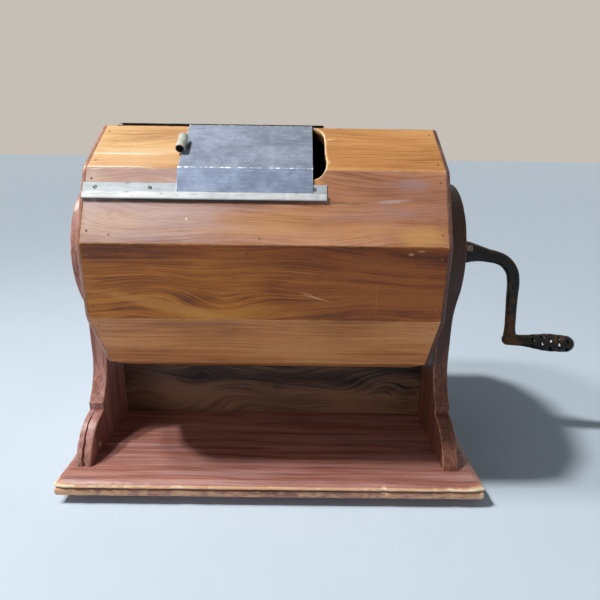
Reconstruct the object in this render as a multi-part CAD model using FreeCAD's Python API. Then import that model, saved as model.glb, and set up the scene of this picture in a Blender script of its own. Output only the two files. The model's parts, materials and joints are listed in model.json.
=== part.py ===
"""Hand-cranked wooden tumbler drum on a moulded stand.

A twelve-sided drum of staves turns between two shaped supports. A bent sheet
door slides in two rails over the mouth of the drum, and a cast crank on the
right turns it. Millimetres, +Z up, +X towards the crank, -Y towards the front.
The origin lies on the underside of the base, below the middle of the axle.
"""
import FreeCAD, Part
import math
import os

V = FreeCAD.Vector
ALONG_X = V(1, 0, 0)
ALONG_Y = V(0, 1, 0)
ALONG_Z = V(0, 0, 1)

# Drum
side_count = 12
drum_corner_radius = 182.6
stave_length = 431.6
stave_thickness = 13.0
end_rim = 4.9                # full-size rim of an end board, outside the staves
end_shoulder = 14.0          # smaller part of an end board, inside the staves
end_rim_round = 1.6
drum_tilt = 12.4             # degrees from level up to the front corner at rest
door_facet = 1               # counted upwards from the facet above the front corner

# Mouth of the drum, centred on the door facet
mouth_length = 118.0
mouth_offset = 12.5          # middle of the mouth, to the right of the drum's middle
mouth_lower_reach = 10.8     # past the facet's lower corner
mouth_upper_reach = 4.0      # past the facet's upper corner
mouth_lower_round = 17.0
mouth_upper_round = 28.0

# Sliding door
door_length = 162.0
door_gauge = 0.9
door_clearance = 0.35
door_edge_gap = 0.6          # between the door's edge and the bend of a rail
door_rest_gap = 16.0         # how far the mouth stands open at rest
pull_diameter = 12.0
pull_length = 27.0
pull_drop = 4.0              # middle of the pull, below the middle of the facet
pull_reach = 1.0             # centre of the rolled pull, past the door's edge
pull_roll = 300.0            # degrees that the tab is rolled round

# Door rails
front_rail_length = 290.0
rear_rail_length = 281.5
rail_end_margin = 1.0        # rail past the right end of the mouth
rail_setback = 19.6          # from a corner of the door facet to the rail
rail_width = 21.1
rail_lip = 9.1
rail_gauge = 1.0
rail_screw_count = 5
rail_screw_margin = 14.5
rail_screw_tip_wall = 2.0    # wood left inside the tip of a rail screw

# Stand
base_thickness = 20.6
base_overhang_left = 17.0
base_overhang_right = 27.5
base_overhang_front = 34.5
bevel_width = 8.0
bevel_drop = 3.2
nose_height = 5.8
nose_bulge = 2.4
groove_height = 1.8
groove_depth = 2.6
bead_bulge = 0.9
plinth_thickness = 12.7      # board under the base, which holds it clear of the table
plinth_inset = 30.0          # behind the edges of the base
plinth_screw_margin = 25.0   # from the edges of the plinth
support_thickness = 20.6
axle_height = 277.0          # above the top of the base
head_radius = 101.3
head_sweep = 31.0            # degrees that the round head runs on below the level
waist_inset = 13.8           # waist inside the lower ends of the round head
flare_spread = 29.5          # flare outside the waist
flare_height = 65.5
flare_turn = 48.0            # degrees that the flare turns outwards from upright
lobe_height = 54.5
lobe_bulge = 13.0
lobe_reach = 61.0            # toe outside the flare
stretcher_thickness = 20.6
stretcher_clearance = 2.0    # below the path of the door and its pull

# Axle hardware
flange_diameter = 76.0
flange_thickness = 6.0
flange_screw_circle = 56.0
flange_screw_count = 4
boss_diameter = 36.0
boss_length = 13.3
journal_diameter = 16.0
journal_clearance = 0.05
left_journal_stub = 3.0      # past the outer face of the left support
washer_diameter = 34.0
washer_thickness = 1.5
bush_diameter = 24.0
bush_flange_diameter = 40.0
bush_flange_thickness = 2.0
end_float = 0.3

# Crank
hub_gap = 0.8                # between the hub and the right support
hub_root_diameter = 40.0
hub_neck_diameter = 32.0
hub_neck_reach = 38.0        # from the hub's root to the start of its nose
hub_nose_length = 19.0
hub_nose_diameter = 21.0
bore_nose_wall = 8.0         # solid metal between the bore's end and the hub's nose
arm_start_width = 23.0
arm_bend_width = 18.6
arm_waist_width = 16.0
arm_end_width = 18.0
arm_depth = 15.0
arm_dip = 14.0               # degrees that the arm falls away from the axle
arm_lean = 4.0               # degrees that the lower arm leans outwards
arm_bend_radius = 42.0
crank_throw = 144.0          # from the axle down to the start of the grip
crank_reach = 120.0          # from the right support out to the start of the grip
grip_droop = 4.0             # degrees
grip_heel = 11.5             # grip behind the middle of the arm
grip_length = 118.0
grip_neck_diameter = 18.4
grip_neck_length = 30.0
grip_diameter = 29.0
grip_belly_setback = 38.0    # widest place, from the tip
grip_end_taper = 0.93        # share of the widest radius left where the round end starts
grip_wall = 4.2
grip_tip_wall = 8.0
lattice_rows = 5
lattice_holes_round = 6
lattice_hole_diameter = 7.4
lattice_start = 47.0         # first row of holes, from the heel

# Fasteners
nail_diameter = 1.8
nail_head_diameter = 3.2
nail_head_height = 1.0
nail_bite = 12.8             # in the end board
nail_set = 0.8               # head below the surface of the stave
nail_edge = 14.5             # from the stave's long edge
screw_diameter = 4.0
screw_head_diameter = 8.0
screw_head_height = 3.0
small_screw_diameter = 2.4
small_screw_head_diameter = 5.0
screw_recess = 0.6           # screw heads below the surface of the stand
flange_screw_tip_wall = 5.0  # wood left inside the tip of a flange screw
base_screw_bite = 25.4       # in a foot or the stretcher
plinth_screw_bite = 12.7     # in the base
base_screw_spread = 110.0    # outer screws of a support, from the middle
base_screw_inset = 40.0      # inner screws of a support, from the middle
stretcher_screw_bite = 29.4  # in the end of the stretcher
stretcher_screw_margin = 22.0
stretcher_base_screws = 4
set_screw_diameter = 7.0
set_screw_head = 9.0
set_screw_head_height = 5.0
set_screw_gap = 0.5          # between its head and the hub
set_screw_angle = 25.0       # degrees above the front
set_screw_setback = 6.6      # from the start of the hub's nose
rivet_diameter = 4.4
rivet_head_diameter = 6.8
rivet_bore = 2.6
rivet_head_height = 0.8
rivet_height = 13.0          # above the base, in the split left foot
rivet_setback = 36.0         # behind the front of the foot

# Sizes that follow from those above
half_turn = math.pi / side_count
side_turn = 360.0 / side_count
facet_radius = drum_corner_radius * math.cos(half_turn)
facet_width = 2 * drum_corner_radius * math.sin(half_turn)
stave_end = stave_length / 2
drum_end = stave_end + end_rim
boss_end = drum_end + flange_thickness + boss_length
washer_end = boss_end + washer_thickness
support_inner = washer_end + end_float + bush_flange_thickness
support_outer = support_inner + support_thickness
base_top = plinth_thickness + base_thickness
axle_z = base_top + axle_height
mouth_left = mouth_offset - mouth_length / 2
mouth_right = mouth_offset + mouth_length / 2
door_right = mouth_right - door_rest_gap
door_left = door_right - door_length
rail_slot = door_gauge + 2 * door_clearance
rail_height = 2 * rail_gauge + rail_slot
rail_bend = rail_height / 2
rail_right = mouth_right + rail_end_margin
door_floor = rail_gauge + door_clearance
bend_sweep = (facet_radius + door_floor + door_gauge) / math.cos(half_turn)
pull_sweep = math.hypot(facet_radius + door_floor + pull_diameter, pull_length / 2 + pull_drop)
door_sweep = max(bend_sweep, pull_sweep)
stretcher_height = axle_height - door_sweep - stretcher_clearance
waist_half_width = head_radius * math.cos(math.radians(head_sweep)) - waist_inset
flare_half_width = waist_half_width + flare_spread
foot_reach = flare_half_width + lobe_reach
base_half_depth = foot_reach + base_overhang_front
base_left = -support_outer - base_overhang_left
base_right = support_outer + base_overhang_right
hub_root = support_outer + hub_gap
hub_neck = hub_root + hub_neck_reach
hub_tip = hub_neck + hub_nose_length
journal_tip = hub_tip - bore_nose_wall
set_screw_x = hub_neck - set_screw_setback
set_screw_foot = journal_diameter / 2 + journal_clearance
hub_taper = (hub_root_diameter - hub_neck_diameter) / 2 / hub_neck_reach
set_screw_run = set_screw_x - set_screw_head / 2 - hub_root
set_screw_seat = hub_root_diameter / 2 - hub_taper * set_screw_run + set_screw_gap
grip_belly = grip_length - grip_belly_setback
nail_length = stave_thickness - nail_set + nail_bite
rail_screw_length = stave_thickness - rail_screw_tip_wall
flange_screw_length = end_rim + end_shoulder - flange_screw_tip_wall
base_screw_length = base_thickness + base_screw_bite
plinth_screw_length = plinth_thickness + plinth_screw_bite
stretcher_screw_length = support_thickness + stretcher_screw_bite


def cylinder_x(radius, start, end, y=0.0, z=0.0):
    """Round bar along X from start to end."""
    return Part.makeCylinder(radius, end - start, V(start, y, z), ALONG_X)


def prism_x(points, start, end):
    """Straight-sided bar along X whose section is a list of (y, z) points."""
    corners = [V(start, y, z) for y, z in points]
    face = Part.Face(Part.makePolygon(corners + corners[:1]))
    return face.extrude(V(end - start, 0, 0))


def arc(start, middle, end):
    return Part.Arc(start, middle, end).toShape()


def bulged(start, end, bulge, side):
    """Arc between two points that stands out from its chord by bulge, towards side."""
    chord = end - start
    outward = side - chord * (side.dot(chord) / chord.dot(chord))
    outward.normalize()
    return arc(start, (start + end) * 0.5 + outward * bulge, end)


def line(start, end):
    return Part.LineSegment(start, end).toShape()


def solid_from(edges, direction):
    """Closed outline of edges, extruded."""
    return Part.Face(Part.Wire(edges)).extrude(direction)


def turned(edges):
    """Solid of revolution about the X axis."""
    return Part.Face(Part.Wire(edges)).revolve(V(0, 0, 0), ALONG_X, 360)


def polar(radius, degrees):
    """Point in the YZ plane, with the angle counted from the front upwards."""
    angle = math.radians(degrees)
    return V(0, -radius * math.cos(angle), radius * math.sin(angle))


def at_axle(shape):
    """Move a shape made about the X axis onto the axle."""
    moved = shape.copy()
    moved.translate(V(0, 0, axle_z))
    return moved


def mirrored(shape, side):
    """Shape made for the right-hand side of the axle, put on the side asked for."""
    if side < 0:
        shape = shape.mirror(V(0, 0, 0), ALONG_X)
    return at_axle(shape)


def on_facet(shape, facet):
    """Turn a shape whose facet faces +Z, with the axle at the origin, to its place."""
    elevation = drum_tilt + (facet + 0.5) * side_turn
    turned = shape.copy()
    turned.rotate(V(0, 0, 0), ALONG_X, 90.0 - elevation)
    return at_axle(turned)


def drum_polygon(inradius, start, end):
    """Regular prism with the drum's corners, about the X axis."""
    radius = inradius / math.cos(half_turn)
    corners = [polar(radius, drum_tilt + step * side_turn) for step in range(side_count)]
    return prism_x([(corner.y, corner.z) for corner in corners], start, end)


# Drum

def stave_blank(start, end):
    """Stave with mitred long edges, its outer face towards +Z."""
    inner_radius = facet_radius - stave_thickness
    outer_half = facet_width / 2
    inner_half = inner_radius * math.tan(half_turn)
    section = [(-outer_half, facet_radius), (outer_half, facet_radius),
               (inner_half, inner_radius), (-inner_half, inner_radius)]
    return prism_x(section, start, end)


def mouth_cutter():
    """Prism through the door facet, its upper corners rounded more than its lower ones."""
    low = -facet_width / 2 - mouth_lower_reach
    high = facet_width / 2 + mouth_upper_reach
    floor = facet_radius - 3 * stave_thickness
    lower, upper = mouth_lower_round, mouth_upper_round
    slant_lower = lower * (1 - math.sqrt(0.5))
    slant_upper = upper * (1 - math.sqrt(0.5))

    def corner(x, y):
        return V(x, y, floor)

    edges = [
        line(corner(mouth_left + lower, low), corner(mouth_right - lower, low)),
        arc(corner(mouth_right - lower, low), corner(mouth_right - slant_lower, low + slant_lower),
            corner(mouth_right, low + lower)),
        line(corner(mouth_right, low + lower), corner(mouth_right, high - upper)),
        arc(corner(mouth_right, high - upper), corner(mouth_right - slant_upper, high - slant_upper),
            corner(mouth_right - upper, high)),
        line(corner(mouth_right - upper, high), corner(mouth_left + upper, high)),
        arc(corner(mouth_left + upper, high), corner(mouth_left + slant_upper, high - slant_upper),
            corner(mouth_left, high - upper)),
        line(corner(mouth_left, high - upper), corner(mouth_left, low + lower)),
        arc(corner(mouth_left, low + lower), corner(mouth_left + slant_lower, low + slant_lower),
            corner(mouth_left + lower, low)),
    ]
    return on_facet(solid_from(edges, ALONG_Z * (5 * stave_thickness)), door_facet)


def nail_spots():
    """Places (x, y) of the nails in one stave, over the shoulders of the end boards."""
    across = facet_width / 2 - nail_edge
    along = stave_end - end_shoulder / 2
    return [(x, y) for x in (-along, along) for y in (-across, across)]


def nail(x, y, top):
    """Nail standing along Z with its head set below top, or the hole that it fills."""
    head_top = facet_radius - nail_set
    head_floor = head_top - nail_head_height
    head = Part.makeCylinder(nail_head_diameter / 2, top - head_floor, V(x, y, head_floor))
    shank_length = nail_length - nail_head_height
    shank = Part.makeCylinder(nail_diameter / 2, shank_length, V(x, y, head_floor - shank_length))
    return head.fuse(shank).removeSplitter()


def facet_nails(facet):
    head_top = facet_radius - nail_set
    return [on_facet(nail(x, y, head_top), facet) for x, y in nail_spots()]


def facet_nail_holes(facet):
    return [on_facet(nail(x, y, facet_radius + nail_set), facet) for x, y in nail_spots()]


def stave(facet, start, end, cutters):
    blank = on_facet(stave_blank(start, end), facet)
    return blank.cut(cutters)


def end_board(side, nail_holes):
    """Rabbeted board: a rim flush with the staves and a shoulder inside them."""
    rim = drum_polygon(facet_radius, stave_end, drum_end)
    outer_edges = [edge for edge in rim.Edges
                   if all(abs(vertex.X - drum_end) < 1e-6 for vertex in edge.Vertexes)]
    rim = rim.makeFillet(end_rim_round, outer_edges)
    shoulder = drum_polygon(facet_radius - stave_thickness, stave_end - end_shoulder, stave_end)
    board = rim.fuse(shoulder).removeSplitter()
    return mirrored(board, side).cut(nail_holes + flange_screws(side))


# Door and rails

def rail_section(start):
    """Strip folded back over itself, with its bend at the lower edge and y counted upwards."""
    bend_y = rail_bend
    inner_bend = rail_bend - rail_gauge
    under_lip = rail_height - rail_gauge

    def point(y, z):
        return V(start, y, facet_radius + z)

    edges = [
        line(point(rail_width, 0), point(bend_y, 0)),
        arc(point(bend_y, 0), point(0, rail_bend), point(bend_y, rail_height)),
        line(point(bend_y, rail_height), point(rail_lip, rail_height)),
        line(point(rail_lip, rail_height), point(rail_lip, under_lip)),
        line(point(rail_lip, under_lip), point(bend_y, under_lip)),
        arc(point(bend_y, under_lip), point(rail_bend - inner_bend, rail_bend), point(bend_y, rail_gauge)),
        line(point(bend_y, rail_gauge), point(rail_width, rail_gauge)),
        line(point(rail_width, rail_gauge), point(rail_width, 0)),
    ]
    return edges


def place_on_rail_facet(shape, side):
    """Put a shape made on the front rail's line on the front facet or, turned about, on the rear one."""
    placed = shape.copy()
    placed.translate(V(0, facet_width / 2 - rail_setback - rail_width, 0))
    if side > 0:
        placed = placed.mirror(V(0, 0, 0), ALONG_Y)
    return on_facet(placed, door_facet + side)


def rail_screw_spots(length):
    start = rail_right - length + rail_screw_margin
    step = (length - 2 * rail_screw_margin) / (rail_screw_count - 1)
    line_y = (rail_width + rail_lip) / 2
    return [(start + step * count, line_y) for count in range(rail_screw_count)]


def rail_screw(x, y):
    """Flat-headed screw, flush with the rail's flange."""
    head = Part.makeCylinder(small_screw_head_diameter / 2, rail_gauge, V(x, y, facet_radius))
    shank = Part.makeCylinder(small_screw_diameter / 2, rail_screw_length,
                              V(x, y, facet_radius - rail_screw_length))
    return head.fuse(shank).removeSplitter()


def rail_screws(side, length):
    return [place_on_rail_facet(rail_screw(x, y), side) for x, y in rail_screw_spots(length)]


def rail(side, length):
    strip = solid_from(rail_section(rail_right - length), V(length, 0, 0))
    return place_on_rail_facet(strip, side).cut(rail_screws(side, length))


def door_section():
    """Sheet bent over the two corners of the door facet, as (y, z) points with that facet level."""
    reach = rail_setback + rail_width - rail_bend - door_edge_gap

    def wall(height):
        level = facet_radius + height
        half = level * math.tan(half_turn)
        bend = math.radians(side_turn)
        edge_y = facet_width / 2 + reach * math.cos(bend) + height * math.sin(bend)
        edge_z = facet_radius - reach * math.sin(bend) + height * math.cos(bend)
        return [(-edge_y, edge_z), (-half, level), (half, level), (edge_y, edge_z)]

    return wall(door_floor) + wall(door_floor + door_gauge)[::-1]


def rolled_pull():
    """Tab at the door's left edge, rolled up into an open tube along the facet."""
    outer = pull_diameter / 2
    inner = outer - door_gauge
    centre_x = door_left - pull_reach
    centre_z = facet_radius + door_floor + outer
    front = -pull_length / 2 - pull_drop

    def rim(radius, degrees):
        angle = math.radians(degrees)
        return V(centre_x + radius * math.cos(angle), front, centre_z + radius * math.sin(angle))

    foot, tip = -90.0, -90.0 - pull_roll
    half_way = (foot + tip) / 2
    floor = rim(outer, foot)
    root = V(pull_reach + outer, 0, 0)
    roll = solid_from([
        arc(rim(outer, foot), rim(outer, half_way), rim(outer, tip)),
        line(rim(outer, tip), rim(inner, tip)),
        arc(rim(inner, tip), rim(inner, half_way), rim(inner, foot)),
        line(rim(inner, foot), rim(inner, foot) + root),
        line(rim(inner, foot) + root, floor + root),
        line(floor + root, floor),
    ], V(0, pull_length, 0))
    return roll


def door_sheet():
    sheet = prism_x(door_section(), door_left, door_right)
    return on_facet(sheet.fuse(rolled_pull()).removeSplitter(), door_facet)


# Stand

def moulding(half_width):
    """Outline of half the base's edge, from the underside to the top, as (out, z) points and bulges."""
    bead_top = base_top - bevel_drop - nose_height - groove_height
    nose_floor = bead_top + groove_height
    nose_top = nose_floor + nose_height
    shelf = half_width - nose_bulge
    return [
        ((shelf + bead_bulge, plinth_thickness), 0.0),
        ((shelf + bead_bulge, bead_top), bead_bulge),
        ((half_width - groove_depth - nose_bulge, bead_top), 0.0),
        ((half_width - groove_depth - nose_bulge, nose_floor), 0.0),
        ((shelf, nose_floor), 0.0),
        ((shelf, nose_top), nose_bulge),
        ((shelf - bevel_width, base_top), 0.0),
    ]


def moulded_slab(low, high, outward, along):
    """Slab with the moulding on its two edges across outward, extruded by along."""
    middle = outward * ((low + high) / 2)
    points = moulding((high - low) / 2)
    start = middle - along * 0.5
    edges = []

    def place(point, sign):
        return start + outward * (sign * point[0]) + ALONG_Z * point[1]

    for sign in (1, -1):
        for (previous, _), (point, bulge) in zip(points, points[1:]):
            first, second = place(previous, sign), place(point, sign)
            if bulge:
                edges.append(bulged(first, second, bulge, outward * sign))
            else:
                edges.append(line(first, second))
    edges.append(line(place(points[-1][0], 1), place(points[-1][0], -1)))
    edges.append(line(place(points[0][0], 1), place(points[0][0], -1)))
    return Part.Face(Part.Wire(Part.__sortEdges__(edges))).extrude(along)


def base_board(screw_holes):
    """Board whose edge moulding runs round all four sides, mitred at the corners."""
    width = base_right - base_left
    lengthwise = moulded_slab(-base_half_depth, base_half_depth, ALONG_Y, ALONG_X * (3 * width))
    crosswise = moulded_slab(base_left, base_right, ALONG_X, ALONG_Y * (3 * base_half_depth))
    return lengthwise.common(crosswise).cut(screw_holes)


def support_outline(x):
    """Lyre-shaped outline: round head, waist, flare, upright fillet and rounded foot."""
    top = V(x, 0, axle_z + head_radius)

    def half(sign):
        def point(y, z):
            return V(x, sign * y, base_top + z)

        sweep = math.radians(head_sweep)
        shoulder_y = head_radius * math.cos(sweep)
        shoulder_z = axle_height - head_radius * math.sin(sweep)
        hollow_radius = (shoulder_y - waist_half_width) / (1 - math.cos(sweep))
        waist_top = shoulder_z - hollow_radius * math.sin(sweep)
        half_sweep = sweep / 2
        hollow_middle = point(waist_half_width + hollow_radius * (1 - math.cos(half_sweep)),
                              waist_top + hollow_radius * math.sin(half_sweep))
        turn = math.radians(flare_turn)
        flare_radius = (flare_half_width - waist_half_width) / (1 - math.cos(turn))
        waist_foot = flare_height + flare_radius * math.sin(turn)
        flare_middle = point(waist_half_width + flare_radius * (1 - math.cos(turn / 2)),
                             waist_foot - flare_radius * math.sin(turn / 2))
        head_middle = V(x, sign * head_radius * math.cos(math.radians(45) - half_sweep),
                        axle_z + head_radius * math.sin(math.radians(45) - half_sweep))
        shoulder = point(shoulder_y, shoulder_z)
        lobe_root = point(flare_half_width, lobe_height)
        toe = point(foot_reach, 0)
        return [
            arc(top, head_middle, shoulder),
            arc(shoulder, hollow_middle, point(waist_half_width, waist_top)),
            line(point(waist_half_width, waist_top), point(waist_half_width, waist_foot)),
            arc(point(waist_half_width, waist_foot), flare_middle, point(flare_half_width, flare_height)),
            line(point(flare_half_width, flare_height), lobe_root),
            bulged(lobe_root, toe, lobe_bulge, V(0, sign, 1)),
        ]

    toes = line(V(x, -foot_reach, base_top), V(x, foot_reach, base_top))
    return half(-1) + half(1) + [toes]


def support(side, cutters):
    face = Part.Face(Part.Wire(Part.__sortEdges__(support_outline(side * support_inner))))
    board = face.extrude(V(side * support_thickness, 0, 0))
    bush_seat = at_axle(cylinder_x(bush_diameter / 2, -support_outer, support_outer))
    return board.cut([bush_seat] + cutters)


def stretcher_board(cutters):
    half = stretcher_thickness / 2
    top = base_top + stretcher_height
    section = [(-half, base_top), (half, base_top), (half, top), (-half, top)]
    return prism_x(section, -support_inner, support_inner).cut(cutters)


def wood_screw(place, direction, length, head_start):
    """Flat-headed screw sunk in the surface at place, or its hole when the head starts at that surface."""
    head_end = screw_recess + screw_head_height
    head = Part.makeCylinder(screw_head_diameter / 2, head_end - head_start,
                             place + direction * head_start, direction)
    shank = Part.makeCylinder(screw_diameter / 2, length - head_end,
                              place + direction * head_end, direction)
    return head.fuse(shank).removeSplitter()


def base_screws(head_start):
    """Screws up through the base into the feet and the stretcher."""
    screws = []
    middle_x = (support_inner + support_outer) / 2
    for x in (-middle_x, middle_x):
        for y in (-base_screw_spread, -base_screw_inset, base_screw_inset, base_screw_spread):
            screws.append(wood_screw(V(x, y, plinth_thickness), ALONG_Z, base_screw_length, head_start))
    step = 2 * support_inner / stretcher_base_screws
    for count in range(stretcher_base_screws):
        x = -support_inner + step * (count + 0.5)
        screws.append(wood_screw(V(x, 0, plinth_thickness), ALONG_Z, base_screw_length, head_start))
    return screws


def plinth_screws(head_start):
    """Screws up through the plinth into the base, in three pairs."""
    inset = plinth_inset + plinth_screw_margin
    y = base_half_depth - inset
    ends = (base_left + inset, base_right - inset)
    places = [V(x, side * y, 0) for x in (ends[0], sum(ends) / 2, ends[1]) for side in (-1, 1)]
    return [wood_screw(place, ALONG_Z, plinth_screw_length, head_start) for place in places]


def plinth_board(screw_holes):
    """Plain board under the base, set back from its edges."""
    front, back, top = plinth_inset - base_half_depth, base_half_depth - plinth_inset, plinth_thickness
    section = [(front, 0), (back, 0), (back, top), (front, top)]
    return prism_x(section, base_left + plinth_inset, base_right - plinth_inset).cut(screw_holes)


def stretcher_screws(side, head_start):
    """Two screws through a support into the end of the stretcher."""
    heights = (stretcher_screw_margin, stretcher_height - stretcher_screw_margin)
    return [wood_screw(V(side * support_outer, 0, base_top + height), V(-side, 0, 0),
                       stretcher_screw_length, head_start) for height in heights]


def rivet_shank():
    """Shank of the rivet, and so the hole that it fills, through the split left foot."""
    return cylinder_x(rivet_diameter / 2, -support_outer, -support_inner,
                      rivet_setback - foot_reach, base_top + rivet_height)


def foot_rivet():
    """Tubular rivet with a head on each face of the foot."""
    y = rivet_setback - foot_reach
    z = base_top + rivet_height
    ends = ((-support_outer - rivet_head_height, -support_outer),
            (-support_inner, -support_inner + rivet_head_height))
    heads = [cylinder_x(rivet_head_diameter / 2, start, end, y, z) for start, end in ends]
    bore = cylinder_x(rivet_bore / 2, ends[0][0], ends[1][1], y, z)
    return rivet_shank().fuse(heads).cut(bore).removeSplitter()


def bush(side):
    """Flanged sleeve in a support, its flange towards the drum."""
    sleeve = cylinder_x(bush_diameter / 2, support_inner, support_outer)
    flange = cylinder_x(bush_flange_diameter / 2, support_inner - bush_flange_thickness, support_inner)
    bore = cylinder_x(journal_diameter / 2 + journal_clearance,
                      support_inner - bush_flange_thickness, support_outer)
    return mirrored(sleeve.fuse(flange).cut(bore).removeSplitter(), side)


# Axle hardware

def flange_screw_places():
    return [polar(flange_screw_circle / 2, 45 + count * 360.0 / flange_screw_count)
            for count in range(flange_screw_count)]


def flange_screw(place):
    """Screw through the flange into the end board, flush with the flange."""
    face = drum_end + flange_thickness
    head = cylinder_x(screw_head_diameter / 2, face - screw_head_height, face, place.y, place.z)
    shank = cylinder_x(screw_diameter / 2, drum_end - flange_screw_length,
                       face - screw_head_height, place.y, place.z)
    return head.fuse(shank).removeSplitter()


def flange_screws(side):
    return [mirrored(flange_screw(place), side) for place in flange_screw_places()]


def gudgeon(side, journal_end):
    """Cast flange, boss and journal that carry one end of the drum."""
    flange = cylinder_x(flange_diameter / 2, drum_end, drum_end + flange_thickness)
    boss = cylinder_x(boss_diameter / 2, drum_end + flange_thickness, boss_end)
    journal = cylinder_x(journal_diameter / 2, boss_end, journal_end)
    whole = flange.fuse([boss, journal]).removeSplitter()
    return mirrored(whole, side).cut(flange_screws(side))


def thrust_washer(side):
    ring = cylinder_x(washer_diameter / 2, boss_end, washer_end)
    hole = cylinder_x(journal_diameter / 2 + journal_clearance, boss_end, washer_end)
    return mirrored(ring.cut(hole), side)


# Crank

def hub():
    """Tapered hub and rounded nose, turned about the axle."""
    def point(x, radius):
        return V(x, 0, radius)

    fullness = (hub_neck_diameter - hub_nose_diameter) / 8
    return turned([
        line(point(hub_root, 0), point(hub_root, hub_root_diameter / 2)),
        line(point(hub_root, hub_root_diameter / 2), point(hub_neck, hub_neck_diameter / 2)),
        bulged(point(hub_neck, hub_neck_diameter / 2), point(hub_tip, hub_nose_diameter / 2),
               fullness, V(1, 0, 1)),
        line(point(hub_tip, hub_nose_diameter / 2), point(hub_tip, 0)),
        line(point(hub_tip, 0), point(hub_root, 0)),
    ])


def arm_stations():
    """Middle line of the arm: a falling run, a bend and a leaning run, as (point, direction, width)."""
    start = V(hub_tip - hub_nose_length / 2, 0, 0)
    end = V(support_outer + crank_reach, 0, -crank_throw)
    dip, lean = math.radians(arm_dip), math.radians(arm_lean)
    first = V(math.cos(dip), 0, -math.sin(dip))
    second = V(math.sin(lean), 0, -math.cos(lean))
    gap = end - start
    cross = first.x * second.z - first.z * second.x
    run = (gap.x * second.z - gap.z * second.x) / cross
    corner = start + first * run
    turn = math.pi / 2 - dip - lean
    cut_back = arm_bend_radius * math.tan(turn / 2)
    middle = second - first
    middle.normalize()
    apex = corner + middle * (arm_bend_radius / math.cos(turn / 2) - arm_bend_radius)
    between = first + second
    between.normalize()
    bend_end = corner + second * cut_back
    waist = bend_end + (end - bend_end) * 0.6
    return [
        (start, first, arm_start_width),
        (corner - first * cut_back, first, arm_bend_width),
        (apex, between, arm_bend_width),
        (bend_end, second, arm_bend_width),
        (waist, second, arm_waist_width),
        (end, second, arm_end_width),
    ]


def oval(centre, direction, width):
    """Elliptical section across the arm."""
    across = V(direction.z, 0, -direction.x)
    long_half, short_half = width / 2, arm_depth / 2
    curve = Part.Ellipse(centre + across * long_half, centre + ALONG_Y * short_half, centre)
    return Part.Wire(curve.toShape())


def belly_outline(wall, tip):
    """Outline of the grip from its neck over the belly to its round end, thinned by wall."""
    neck = grip_neck_diameter / 2 - wall
    belly = grip_diameter / 2 - wall
    end_start = grip_length - grip_diameter / 2
    end_radius = belly * grip_end_taper

    def point(x, radius):
        return V(x, 0, radius)

    return [
        bulged(point(grip_neck_length, neck), point(grip_belly, belly), (belly - neck) / 5, V(-1, 0, 1)),
        bulged(point(grip_belly, belly), point(end_start, end_radius), (belly - end_radius) / 3, ALONG_Z),
        bulged(point(end_start, end_radius), point(tip, 0), end_radius / 4, V(1, 0, 1)),
    ]


def grip_body():
    """Round heel, neck, belly and end of the grip."""
    radius = grip_neck_diameter / 2
    heel = V(0, 0, 0)
    neck_start = V(radius, 0, radius)
    neck_end = V(grip_neck_length, 0, radius)
    round_heel = arc(heel, V(radius * (1 - math.sqrt(0.5)), 0, radius * math.sqrt(0.5)), neck_start)
    return turned([round_heel, line(neck_start, neck_end)] + belly_outline(0.0, grip_length)
                  + [line(V(grip_length, 0, 0), heel)])


def grip_hollow():
    """Space inside the openwork of the grip."""
    start = V(grip_neck_length, 0, 0)
    rim = V(grip_neck_length, 0, grip_neck_diameter / 2 - grip_wall)
    tip = grip_length - grip_tip_wall
    return turned([line(start, rim)] + belly_outline(grip_wall, tip) + [line(V(tip, 0, 0), start)])


def lattice_cutters():
    """Round holes in staggered rows through the wall of the grip."""
    end = grip_length - grip_tip_wall - lattice_hole_diameter
    step = (end - lattice_start) / (lattice_rows - 1)
    cutters = []
    for row in range(lattice_rows):
        for count in range(lattice_holes_round):
            angle = (count + 0.5 * (row % 2)) * 360.0 / lattice_holes_round
            cutters.append(Part.makeCylinder(lattice_hole_diameter / 2, grip_diameter,
                                             V(lattice_start + row * step, 0, 0), polar(1, angle)))
    return cutters


def grip():
    """Hollow openwork grip, its heel at the lower end of the arm."""
    body = grip_body().cut([grip_hollow()] + lattice_cutters())
    body.translate(V(-grip_heel, 0, 0))
    body.rotate(V(0, 0, 0), ALONG_Y, grip_droop)
    body.translate(V(support_outer + crank_reach, 0, -crank_throw))
    return body


def set_screw_shank():
    """Shank of the set screw, from the axle out past the hub."""
    outward = polar(1, set_screw_angle)
    shank = Part.makeCylinder(set_screw_diameter / 2, set_screw_seat - set_screw_foot,
                              V(set_screw_x, 0, 0) + outward * set_screw_foot, outward)
    return at_axle(shank)


def set_screw():
    """Square-headed screw through the hub onto the axle."""
    half = set_screw_head / 2
    head = Part.makeBox(set_screw_head, set_screw_head, set_screw_head_height,
                        V(-half, -half, set_screw_seat))
    head.rotate(V(0, 0, 0), ALONG_X, 90.0 - set_screw_angle)
    head.translate(V(set_screw_x, 0, 0))
    return set_screw_shank().fuse(at_axle(head)).removeSplitter()


def crank():
    """One casting: hub, swan-necked arm and openwork grip."""
    arm = Part.makeLoft([oval(*station) for station in arm_stations()], True, False)
    bore = cylinder_x(journal_diameter / 2 + journal_clearance, hub_root, journal_tip + journal_clearance)
    whole = hub().fuse([arm, grip()]).removeSplitter()
    return at_axle(whole.cut(bore)).cut(set_screw_shank())


def write(name, solids):
    """Write one node: a single solid or a group of separate ones."""
    if not isinstance(solids, list):
        solids = [solids]
    pieces = [piece for shape in solids for piece in shape.Solids]
    shape = pieces[0] if len(pieces) == 1 else Part.makeCompound(pieces)
    shape.exportStep(os.path.join("parts", name + ".step"))
    volume = sum(piece.Volume for piece in pieces)
    print(f"{name}: {len(pieces)} solid(s), {volume / 1000:.1f} cm3, valid {shape.isValid()}")


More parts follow.
